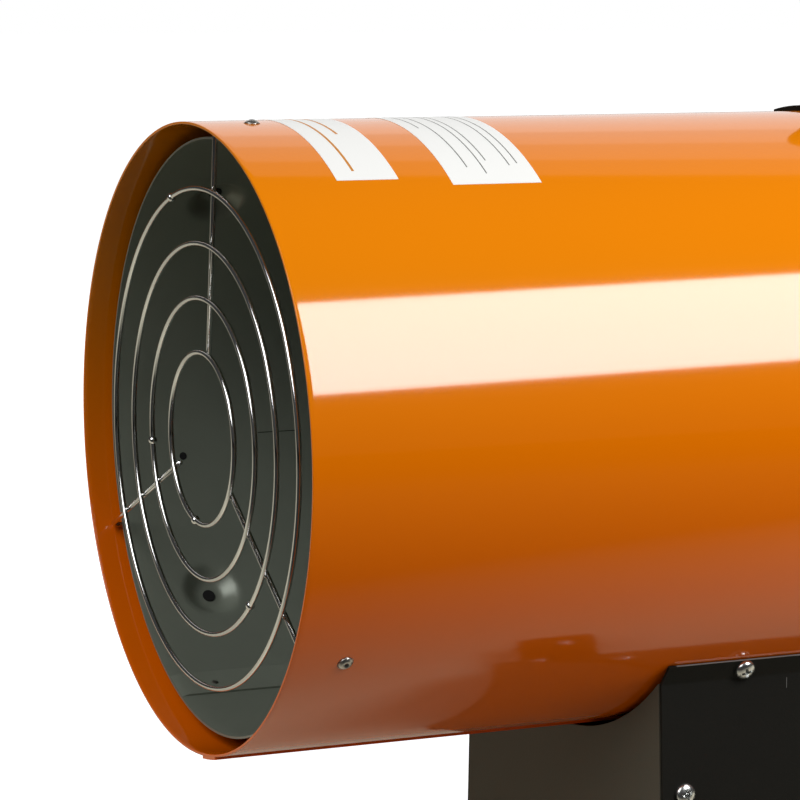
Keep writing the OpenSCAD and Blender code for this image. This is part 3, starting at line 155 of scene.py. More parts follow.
def choose(factor, otherwise, chosen):
    """A mix that shows chosen where the factor is 1, and otherwise where it is 0."""
    mix = sky.nodes.new("ShaderNodeMixShader")
    sky.links.new(factor, mix.inputs[0])
    sky.links.new(otherwise.outputs[0], mix.inputs[1])
    sky.links.new(chosen.outputs[0], mix.inputs[2])
    return mix


either = sky.nodes.new("ShaderNodeMath")
either.operation = "MAXIMUM"
sky.links.new(rays.outputs["Is Camera Ray"], either.inputs[0])
sky.links.new(rays.outputs["Is Transmission Ray"], either.inputs[1])
room = choose(rays.outputs["Is Glossy Ray"], plain_sky(FILL_LEVEL), plain_sky(DARK_LEVEL))
whole = choose(either.outputs[0], room, plain_sky(SEEN_LEVEL))
sky.links.new(whole.outputs[0], sky_out.inputs[0])
print("fill", FILL_LEVEL, "and", DARK_LEVEL, "in mirrors")


# %% Lamps
def soft_box(name, place, brightness, width, height):
    """A rectangular lamp at the matrix place, which shines along its local -Z.

    Its energy follows from its size, so that a mirror shows it at that brightness.
    """
    lamp = bpy.data.lights.new(name, "AREA")
    lamp.shape = "RECTANGLE"
    lamp.size = width
    lamp.size_y = height
    lamp.energy = brightness * pi * width * height
    holder = bpy.data.objects.new(name, lamp)
    holder.matrix_world = place
    holder.visible_camera = False
    scene.collection.objects.link(holder)


def facing(centre, aim):
    """The place of a lamp at centre that shines at aim."""
    turn = (Vector(aim) - Vector(centre)).to_track_quat("-Z", "Y").to_matrix().to_4x4()
    return Matrix.Translation(centre) @ turn


BAND_CLOCK = radians(50)
BAND_AWAY = 1.3
BAND_ALONG = 0.49
BAND_DOWN = -0.042
BAND_SLANT = radians(11.5)
BAND_BRIGHT = 10.6
BAND_WIDTH, BAND_HEIGHT = 0.70, 0.74
band_out = Vector((sin(BAND_CLOCK), 0, cos(BAND_CLOCK)))
band_along = Vector((0, 1, 0))
band_up = band_out.cross(band_along)
band_x = band_along * cos(BAND_SLANT) + band_up * sin(BAND_SLANT)
band_place = Matrix((band_x, band_out.cross(band_x), band_out)).transposed().to_4x4()
band_place.translation = (Vector((0, 0, AXIS_H)) + band_out * BAND_AWAY
                          + band_along * BAND_ALONG + band_up * BAND_DOWN)
soft_box("band_light", band_place, BAND_BRIGHT, BAND_WIDTH, BAND_HEIGHT)
CARD_AWAY = 3.0
CARD_SIDE = radians(150)
CARD_LOW = radians(4)
CARD_TOPS = (34, 44, 54, 62)
CARD_BRIGHT = 0.22
CARD_WIDTH = 4.5
for i, top in enumerate(CARD_TOPS):
    high = radians(top)
    rise = (high + CARD_LOW) / 2
    middle = Vector((cos(CARD_SIDE) * cos(rise), sin(CARD_SIDE) * cos(rise), sin(rise))) * CARD_AWAY
    card_place = facing(middle + Vector((0, 0, AXIS_H)), (0, 0, AXIS_H))
    card_height = 2 * CARD_AWAY * tan((high - CARD_LOW) / 2)
    soft_box("far_card_%d" % i, card_place, CARD_BRIGHT, CARD_WIDTH, card_height)
FRONT_PLACE = (0.9, -2.1, 1.9)
FRONT_BRIGHT = 3.6
FRONT_WIDTH, FRONT_HEIGHT = 2.0, 1.8
soft_box("front_light", facing(FRONT_PLACE, (0, FRONT_Y, AXIS_H)), FRONT_BRIGHT, FRONT_WIDTH,
         FRONT_HEIGHT)
print("lamps placed:", 2 + len(CARD_TOPS))

# %% [markdown]
# The floor is a wide white sheet of paper. Seen by the camera it also glows a little, so
# that it turns white like the photograph's background and still keeps the heater's shadow.
# It glows fully a couple of metres away, where no shadow falls. The casing's lower side
# mirrors a white table that ends on the near side, a few hundred millimetres away, so all
# other rays find the paper fading to dark towards that slanted edge.

# %% Floor
FLOOR_SIZE = 60
FLOOR_DROP = 0.2 * MM
bm = bmesh.new()
bmesh.ops.create_grid(bm, x_segments=1, y_segments=1, size=FLOOR_SIZE / 2)
floor_mesh = bpy.data.meshes.new("floor")
bm.to_mesh(floor_mesh)
bm.free()
floor = bpy.data.objects.new("floor", floor_mesh)
floor.location.z = -FLOOR_DROP
scene.collection.objects.link(floor)
print("floor", FLOOR_SIZE, "m wide")

# %% Paper of the floor
TABLE_SLANT = -0.42
TABLE_FADES_FROM, TABLE_ENDS_AT = 0.13, 0.36
TABLE_COLOUR, BEYOND_COLOUR = (0.66, 0.63, 0.50, 1), (0.03, 0.03, 0.03, 1)
SEEN_COLOUR = (0.6, 0.6, 0.6, 1)
GLOW_NEAR, GLOW_FAR = 0.6, 2.0
GLOW_LEAST, GLOW_FULL = 0.82, 1.0
paper = bpy.data.materials.new("white_paper")
paper.use_nodes = True
tree = paper.node_tree
tree.nodes.clear()
paper_out = tree.nodes.new("ShaderNodeOutputMaterial")
paper_mix = tree.nodes.new("ShaderNodeMixShader")
paper_add = tree.nodes.new("ShaderNodeAddShader")
paper_rough = tree.nodes.new("ShaderNodeBsdfDiffuse")
paper_glow = tree.nodes.new("ShaderNodeEmission")
paper_plain = tree.nodes.new("ShaderNodeBsdfDiffuse")
paper_rays = tree.nodes.new("ShaderNodeLightPath")
paper_rough.inputs["Color"].default_value = SEEN_COLOUR
place = tree.nodes.new("ShaderNodeTexCoord")
parts = tree.nodes.new("ShaderNodeSeparateXYZ")
slanted = tree.nodes.new("ShaderNodeMath")
slanted.operation = "MULTIPLY_ADD"
slanted.inputs[1].default_value = TABLE_SLANT
distance = tree.nodes.new("ShaderNodeVectorMath")
distance.operation = "LENGTH"
farther = tree.nodes.new("ShaderNodeMapRange")
farther.inputs["From Min"].default_value = GLOW_NEAR
farther.inputs["From Max"].default_value = GLOW_FAR
farther.inputs["To Min"].default_value = GLOW_LEAST
farther.inputs["To Max"].default_value = GLOW_FULL
edge = tree.nodes.new("ShaderNodeMapRange")
edge.inputs["From Min"].default_value = TABLE_FADES_FROM
edge.inputs["From Max"].default_value = TABLE_ENDS_AT
shade = tree.nodes.new("ShaderNodeMix")
shade.data_type = "RGBA"
shade.inputs["A"].default_value = TABLE_COLOUR
shade.inputs["B"].default_value = BEYOND_COLOUR
tree.links.new(place.outputs["Object"], parts.inputs[0])
tree.links.new(place.outputs["Object"], distance.inputs[0])
tree.links.new(distance.outputs["Value"], farther.inputs["Value"])
tree.links.new(farther.outputs["Result"], paper_glow.inputs["Strength"])
tree.links.new(parts.outputs["Y"], slanted.inputs[0])
tree.links.new(parts.outputs["X"], slanted.inputs[2])
tree.links.new(slanted.outputs[0], edge.inputs["Value"])
tree.links.new(edge.outputs["Result"], shade.inputs["Factor"])
tree.links.new(shade.outputs["Result"], paper_plain.inputs["Color"])
tree.links.new(paper_rough.outputs[0], paper_add.inputs[0])
tree.links.new(paper_glow.outputs[0], paper_add.inputs[1])
tree.links.new(paper_rays.outputs["Is Camera Ray"], paper_mix.inputs[0])
tree.links.new(paper_plain.outputs[0], paper_mix.inputs[1])
tree.links.new(paper_add.outputs[0], paper_mix.inputs[2])
tree.links.new(paper_mix.outputs[0], paper_out.inputs[0])
floor_mesh.materials.append(paper)
print("the table's mirror image ends", TABLE_ENDS_AT, "m away on the near side")

# %% [markdown]
# Every finish is built from one recipe: a Principled shader whose colour, roughness and
# bumps vary a little with noise on Object coordinates. The casing's paint gets long shallow
# waves and a painted shade that turns it redder towards the bottom, metal gets fine grain or
# spangles, and rubber and plastic stay nearly plain.

# %% Drifting shades, a painted shade on the lower side, and bumps
LOW_AT, HIGH_AT = 0.2, 0.31
WAVE_REACH, BUMP_REACH = 0.004, 0.0003
DRIFT_DETAIL, BUMP_DETAIL = 4, 1


def drifting(t, fit, scale, spangle, spangle_scale):
    """A value that drifts with noise and, with a spangle, also jumps from cell to cell."""
    drift = t.nodes.new("ShaderNodeTexNoise")
    drift.inputs["Scale"].default_value = scale
    drift.inputs["Detail"].default_value = DRIFT_DETAIL
    t.links.new(fit.outputs[0], drift.inputs["Vector"])
    if not spangle:
        return drift.outputs["Fac"]
    cells = t.nodes.new("ShaderNodeTexVoronoi")
    cells.inputs["Scale"].default_value = spangle_scale
    t.links.new(fit.outputs[0], cells.inputs["Vector"])
    grain = t.nodes.new("ShaderNodeMix")
    grain.inputs["Factor"].default_value = spangle
    t.links.new(drift.outputs["Fac"], grain.inputs["A"])
    t.links.new(cells.outputs["Color"], grain.inputs["B"])
    return grain.outputs["Result"]


def painted_shade_below(t, place, painted, painted_low_shade):
    """The painted colour, which a painted shade turns into painted_low_shade between two heights of
    the casing.
    """
    height = t.nodes.new("ShaderNodeSeparateXYZ")
    t.links.new(place.outputs["Object"], height.inputs[0])
    rise = t.nodes.new("ShaderNodeMapRange")
    rise.inputs["From Min"].default_value = LOW_AT
    rise.inputs["From Max"].default_value = HIGH_AT
    t.links.new(height.outputs["Z"], rise.inputs["Value"])
    blend = t.nodes.new("ShaderNodeMix")
    blend.data_type = "RGBA"
    blend.inputs["A"].default_value = (*painted_low_shade, 1)
    t.links.new(rise.outputs["Result"], blend.inputs["Factor"])
    t.links.new(painted, blend.inputs["B"])
    return blend.outputs["Result"]


def rippled(t, fit, layers):
    """The normal after a bump for every (strength, scale, reach), or None if all are flat."""
    normal = None
    for strength, scale, reach in layers:
        if not strength:
            continue
        ripple = t.nodes.new("ShaderNodeTexNoise")
        ripple.inputs["Scale"].default_value = scale
        ripple.inputs["Detail"].default_value = BUMP_DETAIL
        t.links.new(fit.outputs[0], ripple.inputs["Vector"])
        raised = t.nodes.new("ShaderNodeBump")
        raised.inputs["Strength"].default_value = strength
        raised.inputs["Distance"].default_value = reach
        t.links.new(ripple.outputs["Fac"], raised.inputs["Height"])
        if normal:
            t.links.new(normal, raised.inputs["Normal"])
        normal = raised.outputs[0]
    return normal


# The casing's paint gets a painted shade, redder below this height.
print("the casing's paint turns redder below", HIGH_AT, "m")

# %% The recipe of every finish
SMOOTHEST = 0.02
COAT_ROUGH = 0.05


def finish(name, colour, rough, metallic=0.0, coat=0.0, specular=0.5, tint=0.06,
           tint_scale=30.0, rough_spread=0.06, bump=0.0, bump_scale=400.0,
           stretch=(1, 1, 1), spangle=0.0, spangle_scale=90.0, wave=0.0, wave_scale=9.0,
           painted_low_shade=None):
    """A material whose colour and roughness drift with noise, with fine and long bumps."""
    made = bpy.data.materials.new(name)
    made.use_nodes = True
    t = made.node_tree
    shader = t.nodes["Principled BSDF"]
    shader.inputs["Metallic"].default_value = metallic
    shader.inputs["Coat Weight"].default_value = coat
    shader.inputs["Coat Roughness"].default_value = COAT_ROUGH
    shader.inputs["Specular IOR Level"].default_value = specular
    place = t.nodes.new("ShaderNodeTexCoord")
    fit = t.nodes.new("ShaderNodeMapping")
    fit.inputs["Scale"].default_value = stretch
    t.links.new(place.outputs["Object"], fit.inputs["Vector"])
    driver = drifting(t, fit, tint_scale, spangle, spangle_scale)
    shade = t.nodes.new("ShaderNodeMix")
    shade.data_type = "RGBA"
    dark = [c * (1 - tint) for c in colour]
    light = [min(1, c * (1 + tint)) for c in colour]
    shade.inputs["A"].default_value = (*dark, 1)
    shade.inputs["B"].default_value = (*light, 1)
    t.links.new(driver, shade.inputs["Factor"])
    painted = shade.outputs["Result"]
    # Painted shade: the colour turns towards painted_low_shade lower on the casing.
    if painted_low_shade:
        painted = painted_shade_below(t, place, painted, painted_low_shade)
    t.links.new(painted, shader.inputs["Base Color"])
    span = t.nodes.new("ShaderNodeMapRange")
    span.inputs["To Min"].default_value = max(SMOOTHEST, rough - rough_spread)
    span.inputs["To Max"].default_value = rough + rough_spread
    t.links.new(driver, span.inputs["Value"])
    t.links.new(span.outputs["Result"], shader.inputs["Roughness"])
    normal = rippled(t, fit, ((wave, wave_scale, WAVE_REACH), (bump, bump_scale, BUMP_REACH)))
    if normal:
        t.links.new(normal, shader.inputs["Normal"])
    return made


# %% [markdown]
# The finishes of this heater, named for what they cover. The colours were read off the
# photograph where it shows the piece, and come from such products where it doesn't.

# %% The finishes
# The orange paint carries a painted shade that makes it redder towards the bottom.
orange_paint = finish("orange_paint", (0.80, 0.222, 0.0), 0.08, specular=0.75, tint=0.02,
                      tint_scale=6, rough_spread=0.02, wave=0.02, wave_scale=7,
                      painted_low_shade=(0.80, 0.135, 0.0))
galvanised = finish("galvanised_steel", (0.235, 0.262, 0.215), 0.36, metallic=0.3,
                    specular=0.8, tint=0.10, tint_scale=18, spangle=0.12, spangle_scale=110,
                    bump=0.15, bump_scale=260)
heat_steel = finish("heat_steel", (0.36, 0.34, 0.32), 0.38, metallic=1.0, tint=0.12, bump=0.1)
rivet_metal = finish("rivet_metal", (0.52, 0.50, 0.46), 0.34, metallic=1.0, bump=0.1)
chromed_wire = finish("chromed_wire", (0.86, 0.86, 0.85), 0.10, metallic=1.0, tint=0.03,
                      rough_spread=0.04, bump=0.06, bump_scale=150)
zinc_steel = finish("zinc_steel", (0.70, 0.71, 0.70), 0.26, metallic=1.0, tint=0.06, bump=0.08)
# Painted light: grey_paint is the base's black paint made lighter, standing in for the light on its
# lit front panel.
grey_paint = finish("grey_paint", (0.094, 0.087, 0.066), 0.62, specular=0.2, tint=0.05, bump=0.15,
                    bump_scale=900)
black_paint = finish("black_paint", (0.0075, 0.0070, 0.0052), 0.60, specular=0.15, tint=0.08,
                     bump=0.15, bump_scale=900)
bronze = finish("sintered_bronze", (0.30, 0.17, 0.07), 0.5, metallic=1.0, bump=0.2)
bright_steel = finish("bright_steel", (0.66, 0.66, 0.66), 0.2, metallic=1.0, stretch=(1, 30, 1))
fan_metal = finish("fan_aluminium", (0.62, 0.63, 0.64), 0.36, metallic=1.0, bump=0.1,
                   bump_scale=200)
brass = finish("brass", (0.66, 0.42, 0.13), 0.28, metallic=1.0, tint=0.08, bump=0.08)
copper = finish("copper", (0.62, 0.27, 0.13), 0.32, metallic=1.0, tint=0.10, bump=0.08)
ceramic = finish("ceramic", (0.80, 0.78, 0.72), 0.2, coat=0.3, tint=0.03)
black_rubber = finish("black_rubber", (0.018, 0.018, 0.018), 0.72, tint=0.1, bump=0.3,
                      bump_scale=500)
grip_foam = finish("grip_foam", (0.026, 0.026, 0.026), 0.85, tint=0.12, bump=0.5,
                   bump_scale=1100)
black_plastic = finish("black_plastic", (0.020, 0.020, 0.020), 0.45, tint=0.06, bump=0.15,
                       bump_scale=900)
red_plastic = finish("red_plastic", (0.50, 0.012, 0.008), 0.3, coat=0.2, tint=0.04)
white_plastic = finish("white_plastic", (0.72, 0.71, 0.66), 0.4, tint=0.03)
FINISHES = {
    "orange_paint": orange_paint, "galvanised_steel": galvanised, "heat_steel": heat_steel,
    "rivet_metal": rivet_metal, "chromed_wire": chromed_wire, "zinc_steel": zinc_steel,
    "grey_paint": grey_paint, "black_paint": black_paint, "sintered_bronze": bronze,
    "bright_steel": bright_steel, "fan_aluminium": fan_metal, "brass": brass, "copper": copper,
    "ceramic": ceramic, "black_silicone": black_rubber, "grip_foam": grip_foam,
    "black_plastic": black_plastic, "red_plastic": red_plastic, "white_plastic": white_plastic,
}
SLOT_OF = {s["node"]: s["material_slot"] for s in frame["record"]["subparts"]}
for node, obj in NODES.items():
    obj.data.materials.clear()
    obj.data.materials.append(FINISHES[SLOT_OF[node]])
print(len(FINISHES), "finishes on", len(NODES), "nodes")

# %% [markdown]
# Finer pieces are made in a bmesh and end as an object whose place is in its mesh. This
# helper turns a bmesh into such a piece: it merges doubles, turns the faces outwards, marks
# the hard edges, gives the finish, says which body it rides on, and hides the CAD nodes it stands
# for.

# %% From a bmesh to a piece
SMOOTH_UP_TO = radians(32)
MERGE_WITHIN = 1e-6


def piece(name, bm, look, replaces=(), body=MAIN_BODY, recalc=True):
    """An object from bm, with its finish and its body, which hides the CAD nodes it stands for."""
    bmesh.ops.remove_doubles(bm, verts=bm.verts, dist=MERGE_WITHIN)
    if recalc:
        bmesh.ops.recalc_face_normals(bm, faces=bm.faces)
    mesh = bpy.data.meshes.new(name)
    bm.to_mesh(mesh)
    bm.free()
    mesh.polygons.foreach_set("use_smooth", [True] * len(mesh.polygons))
    mesh.set_sharp_from_angle(angle=SMOOTH_UP_TO)
    mesh.materials.append(look)
    made = bpy.data.objects.new(name, mesh)
    scene.collection.objects.link(made)
    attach(made, body)
    if replaces:
        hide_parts(*replaces)
    print(name, "has", len(mesh.polygons), "faces")
    return made


def chain(bm, points):
    """A string of vertices joined by edges, ready to spin or extrude."""
    verts = [bm.verts.new(p) for p in points]
    return verts, [bm.edges.new(pair) for pair in zip(verts, verts[1:])]


AXIS = Vector((0, 0, AXIS_H))
Y_UNIT = Vector((0, 1, 0))


def spin_about_axis(bm, geom, turn, steps, whole):
    """Turns a profile about the heater's axis."""
    bmesh.ops.spin(bm, geom=geom, cent=AXIS, axis=Y_UNIT, angle=turn, steps=steps,
                   use_merge=whole, use_duplicate=False)


# %% [markdown]
# The casing is one sheet rolled into a tube and lapped along its bottom. Its front edge is
# cut, not curled, so the wall's section is a thin rectangle whose corners are barely broken.
# That section is spun about the axis, which gives a rounder tube than the CAD model's mesh
# and lets the long reflection run cleanly. A row of vertices close to each rim keeps the
# shading of the long wall apart from that of its broken corners.

# %% Casing
RIM_BREAK = 0.25 * MM
RIM_STEPS = 3
HOLD = 2 * MM
CASING_STEPS = 288
bm = bmesh.new()
section = [(BORE_R, 0), (BORE_R, HOLD), (BORE_R, CASING_LEN - HOLD), (BORE_R, CASING_LEN),
           (CASING_R, CASING_LEN), (CASING_R, CASING_LEN - HOLD), (CASING_R, HOLD), (CASING_R, 0)]
wall, edges = chain(bm, [on_round(0, r, y) for r, y in section])
edges.append(bm.edges.new((wall[-1], wall[0])))
corners = [v for v, (r, y) in zip(wall, section) if y in (0, CASING_LEN)]
bmesh.ops.bevel(bm, geom=corners, offset=RIM_BREAK, segments=RIM_STEPS, affect="VERTICES",
                profile=0.5, material=-1)
spin_about_axis(bm, bm.verts[:] + bm.edges[:], 2 * pi, CASING_STEPS, True)
piece("casing_shell", bm, orange_paint, replaces=["outer_casing"])

# %% [markdown]
# The lap is where the sheet's outer edge lies over its inner one: a flat strip one sheet
# thick, which runs along the bottom, a little to the near side.

# %% Casing lap
LAP_CLOCK = 168
LAP_W = 12 * MM
LAP_SINK = 0.2 * MM
LAP_STEPS = 8
bm = bmesh.new()
section = [(CASING_R - LAP_SINK, 0), (CASING_R - LAP_SINK, CASING_LEN),
           (CASING_R + CASING_T, CASING_LEN), (CASING_R + CASING_T, 0)]
wall, edges = chain(bm, [on_round(LAP_CLOCK, r, y) for r, y in section])
start = bm.faces.new(wall)
spin_about_axis(bm, bm.verts[:] + bm.edges[:] + [start], LAP_W / CASING_R, LAP_STEPS, False)
piece("casing_lap", bm, orange_paint)

# %% [markdown]
# The liner is a galvanised tube inside the casing. A press pushed dimples outwards, whose
# floors rest on the casing and keep an air gap around the liner. The tube is spun from a line
# of points that lie closer together where the dimples are. Then each point near a dimple
# moves outwards along a smooth curve, which gives the soft dish of a pressed sheet.

# %% Liner
LINER_FRONT = cad_end("combustion_liner", LOW, Y) - FRONT_Y
LINER_END = cad_end("combustion_liner", HIGH, Y) - FRONT_Y
DIMPLE_MOUTH_R = 12.5 * MM
DIMPLE_FLOOR_R = 4.2 * MM
DIMPLE_DEPTH = 4.3 * MM
FRONT_DIMPLES_AT, REAR_DIMPLES_AT = 40.5 * MM, 288 * MM
FRONT_TURN, REAR_TURN = 48.6, 10
FRONT_DIMPLES = [(FRONT_TURN + 90 * i, FRONT_DIMPLES_AT) for i in range(4)]
DIMPLES = FRONT_DIMPLES + [(REAR_TURN + 90 * i, REAR_DIMPLES_AT) for i in range(4)]
LINER_IN_R = LINER_R - LINER_T
LINER_STEPS = 480
# The end of each stretch behind the rim, and how far apart the points lie up to there.
STRETCHES = [(27 * MM, 5 * MM), (54 * MM, 1.25 * MM), (274 * MM, 18 * MM),
             (302 * MM, 1.5 * MM), (LINER_END, 4 * MM)]


def spaced(start, end, step):
    """Even places from start up to just before end, about one step apart."""
    count = max(1, round((end - start) / step))
    return [start + (end - start) * i / count for i in range(count)]


def dished(point):
    """How far the press moved a point of the liner outwards."""
    moved = 0
    for clock, behind in DIMPLES:
        centre = on_round(clock, LINER_IN_R, behind)
        away = (point - centre).length
        if away < DIMPLE_MOUTH_R:
            t = min(1, max(0, (away - DIMPLE_FLOOR_R) / (DIMPLE_MOUTH_R - DIMPLE_FLOOR_R)))
            moved = DIMPLE_DEPTH * (1 - t * t * (3 - 2 * t))
    return moved


rows = []
row_start = LINER_FRONT
for row_end, apart in STRETCHES:
    rows += spaced(row_start, row_end, apart)
    row_start = row_end
rows.append(LINER_END)
bm = bmesh.new()
verts, edges = chain(bm, [on_round(0, LINER_IN_R, y) for y in rows])
spin_about_axis(bm, verts + edges, 2 * pi, LINER_STEPS, True)
for v in bm.verts:
    out = Vector((v.co.x, 0, v.co.z - AXIS_H)).normalized()
    v.co += out * dished(v.co)
liner = piece("liner_shell", bm, galvanised, replaces=["combustion_liner"])
wall = liner.modifiers.new("sheet", "SOLIDIFY")
wall.thickness = LINER_T
wall.offset = 1
crisp = liner.modifiers.new("crisp_rims", "EDGE_SPLIT")
crisp.split_angle = SMOOTH_UP_TO

# %% [markdown]
# The liner is lapped too, low on the far side, and spot welded. The upper sheet's strip lies
# inside. Its front corner starts a little behind the lower sheet's, as the photograph shows.

# %% Liner lap
SEAM_CLOCK = -161
SEAM_W = 14 * MM
SEAM_SINK = 0.1 * MM
SEAM_BACK = 3.5 * MM
bm = bmesh.new()
section = [(LINER_IN_R + SEAM_SINK, LINER_FRONT), (LINER_IN_R + SEAM_SINK, LINER_END),
           (LINER_IN_R - LINER_T, LINER_END), (LINER_IN_R - LINER_T, LINER_FRONT + SEAM_BACK)]
wall, edges = chain(bm, [on_round(SEAM_CLOCK, r, y) for r, y in section])
start = bm.faces.new(wall)
spin_about_axis(bm, bm.verts[:] + bm.edges[:] + [start], SEAM_W / LINER_IN_R, LAP_STEPS, False)
piece("liner_lap", bm, galvanised)

# %% [markdown]
# Each front dimple has a hole in its floor, and a smaller hole and a straight crease lie on
# the far side. The turned liner is closed, so thin dark discs and a thin dark bar in the sheet
# show them as painted shade, standing in for the shade inside the holes and the crease. The
# weld spots along the lap are low round pads.

# %% Painted shade of the liner's holes and crease, and weld spots
HOLE_R, HOLE_T, HOLE_SINK = 2.5 * MM, 0.4 * MM, 0.25 * MM
SMALL_CLOCK, SMALL_AT, SMALL_R, SMALL_T = -101.5, 38.5 * MM, 1.5 * MM, 0.3 * MM
CREASE_CLOCK, CREASE_TURN = -97.5, 0.15
CREASE_AT, CREASE_LEN, CREASE_T = 80.5 * MM, 19 * MM, 0.06 * MM
WELD_CLOCK, WELD_R, WELD_TOP_R, WELD_H = -157.5, 1.6 * MM, 1.1 * MM, 0.3 * MM
WELDS_AT = [mm * MM for mm in (21, 26, 96, 166, 236, 302)]
HOLE_SIDES, SMALL_SIDES, WELD_SIDES = 32, 24, 20


def frame_along(place, direction, turn=0.0):
    """A matrix that stands local Z on place, pointing along direction."""
    upright = Vector(direction).to_track_quat("Z", "Y").to_matrix().to_4x4()
    return Matrix.Translation(place) @ upright @ Matrix.Rotation(turn, 4, "Z")


def disc(bm, spot, direction, foot_r, top_r, thick, sides):
    """A round pad at spot, which stands along direction."""
    bmesh.ops.create_cone(bm, cap_ends=True, segments=sides, radius1=foot_r, radius2=top_r,
                          depth=thick, matrix=frame_along(spot, direction))


# Painted shade: this near-black finish stands in for the shade inside the holes and the crease.
painted_hole_shade = finish("painted_hole_shade", (0.006, 0.006, 0.006), 0.9, tint=0.0)
bm = bmesh.new()
for clock, behind in FRONT_DIMPLES:
    spot = on_round(clock, LINER_IN_R + DIMPLE_DEPTH - HOLE_SINK, behind)
    disc(bm, spot, outward(clock), HOLE_R, HOLE_R, HOLE_T, HOLE_SIDES)
small_spot = on_round(SMALL_CLOCK, LINER_IN_R, SMALL_AT)
disc(bm, small_spot, outward(SMALL_CLOCK), SMALL_R, SMALL_R, SMALL_T, SMALL_SIDES)
crease = bmesh.ops.create_cube(bm, size=1)["verts"]
for v in crease:
    v.co = on_round(CREASE_CLOCK + v.co.x * CREASE_TURN, LINER_IN_R - v.co.z * CREASE_T,
                    CREASE_AT + v.co.y * CREASE_LEN)
piece("liner_hole_shade", bm, painted_hole_shade)
bm = bmesh.new()
for behind in WELDS_AT:
    spot = on_round(WELD_CLOCK, LINER_IN_R - LINER_T, behind)
    disc(bm, spot, -outward(WELD_CLOCK), WELD_R, WELD_TOP_R, WELD_H, WELD_SIDES)
piece("liner_weld_spots", bm, heat_steel)

# %% [markdown]
# All screws have a pan head with a cross recess. One head is turned from its outline, and two
# tapered blades are cut out of it with the Boolean modifier. The finished head is then copied
# to each screw's place, so that a row of screws stays one light piece.

# %% One screw head
HEAD_MERGE = 1e-7
HEAD_STEPS = 36
# The outline's points are a radius and a height, and a blade has a length, a width and a
# height at its lower and its upper end, all in millimetres.
HEAD_OUTLINE = [(0, -1.0), (2.0, -1.0), (2.0, 0), (3.85, 0), (4.0, 0.15), (4.0, 0.75), (3.8, 1.35),
                (3.35, 1.85), (2.6, 2.25), (1.6, 2.5), (0.8, 2.58), (0, 2.6)]
BLADE_LOW, BLADE_HIGH = (2.2, 0.75, 0.55), (4.9, 1.25, 3.2)


def turned_bar(outline):
    """A closed round bar, from its (radius, height) outline, about Z."""
    made = bmesh.new()
    verts, edges = chain(made, [(r * MM, 0, z * MM) for r, z in outline])
    bmesh.ops.spin(made, geom=verts + edges, cent=(0, 0, 0), axis=(0, 0, 1), angle=2 * pi,
                   steps=HEAD_STEPS, use_merge=True, use_duplicate=False)
    bmesh.ops.remove_doubles(made, verts=made.verts, dist=HEAD_MERGE)
    bmesh.ops.recalc_face_normals(made, faces=made.faces)
    return made


def helper_object(name, made):
    """An object that is only there until the cut is made."""
    mesh = bpy.data.meshes.new(name)
    made.to_mesh(mesh)
    made.free()
    obj = bpy.data.objects.new(name, mesh)
    scene.collection.objects.link(obj)
    return obj


def cut_mesh(name, body, cutters):
    """The mesh that is left of body when the cutters are taken away."""
    solid = helper_object(name, body)
    tools = [helper_object(name + "_tool", c) for c in cutters]
    for tool in tools:
        cut = solid.modifiers.new("cut", "BOOLEAN")
        cut.operation = "DIFFERENCE"
        cut.solver = "EXACT"
        cut.object = tool
    bpy.context.view_layer.update()
    cut_solid = solid.evaluated_get(bpy.context.evaluated_depsgraph_get())
    result = bpy.data.meshes.new_from_object(cut_solid)
    for used in tools + [solid]:
        bpy.data.objects.remove(used)
    return result


def blade(turn):
    """One arm of the cross recess: a bar that narrows downwards."""
    made = bmesh.new()
    bmesh.ops.create_cube(made, size=1)
    for v in made.verts:
        long, wide, height = BLADE_LOW if v.co.z < 0 else BLADE_HIGH
        v.co = (v.co.x * long * MM, v.co.y * wide * MM, height * MM)
    bmesh.ops.rotate(made, verts=made.verts, cent=(0, 0, 0), matrix=Matrix.Rotation(turn, 3, "Z"))
    bmesh.ops.recalc_face_normals(made, faces=made.faces)
    return made


head_mesh = cut_mesh("pan_head", turned_bar(HEAD_OUTLINE), [blade(0), blade(pi / 2)])
print("one head has", len(head_mesh.polygons), "faces")

# %% Rows of screws
FIRST_TURN, NEXT_TURN = radians(17), radians(61)


def screws(name, node, places):
    """One piece with a head at every (place, direction), each recess turned differently."""
    made = bmesh.new()
    for i, (place, direction) in enumerate(places):
        before = set(made.verts)
        made.from_mesh(head_mesh)
        turn = FIRST_TURN + NEXT_TURN * i
        bmesh.ops.transform(made, matrix=frame_along(place, direction, turn),
                            verts=[v for v in made.verts if v not in before])
    piece(name, made, zinc_steel, replaces=[node], recalc=False)


# %% [markdown]
# The screws' places follow the CAD model: on the casing they are an angle and a distance
# behind the rim, and on the side covers they follow the covers' lean.

# %% Where the base lies
BASE_FRONT = cad_end("base_frame", LOW, Y)
BASE_END = cad_end("base_frame", HIGH, Y)
BASE_Z = cad_end("base_frame", LOW, Z)
SPLAY = radians(2.4)
LEAN = radians(27.5)
COVER_OUT = 79.0 * MM
FLANGE_LEN = 7.5 * MM
BASE_T = 1.2 * MM
FLANGE_GAP = 0.2 * MM
flange_in_x = COVER_OUT + FLANGE_LEN * sin(LEAN) - BASE_T * cos(LEAN)
flange_in_z = -sqrt((CASING_R + FLANGE_GAP) ** 2 - flange_in_x ** 2)
BEND_Z = AXIS_H + flange_in_z - FLANGE_LEN * cos(LEAN) - BASE_T * sin(LEAN)
print("the cover bends at", round(BEND_Z / MM, 2), "mm")

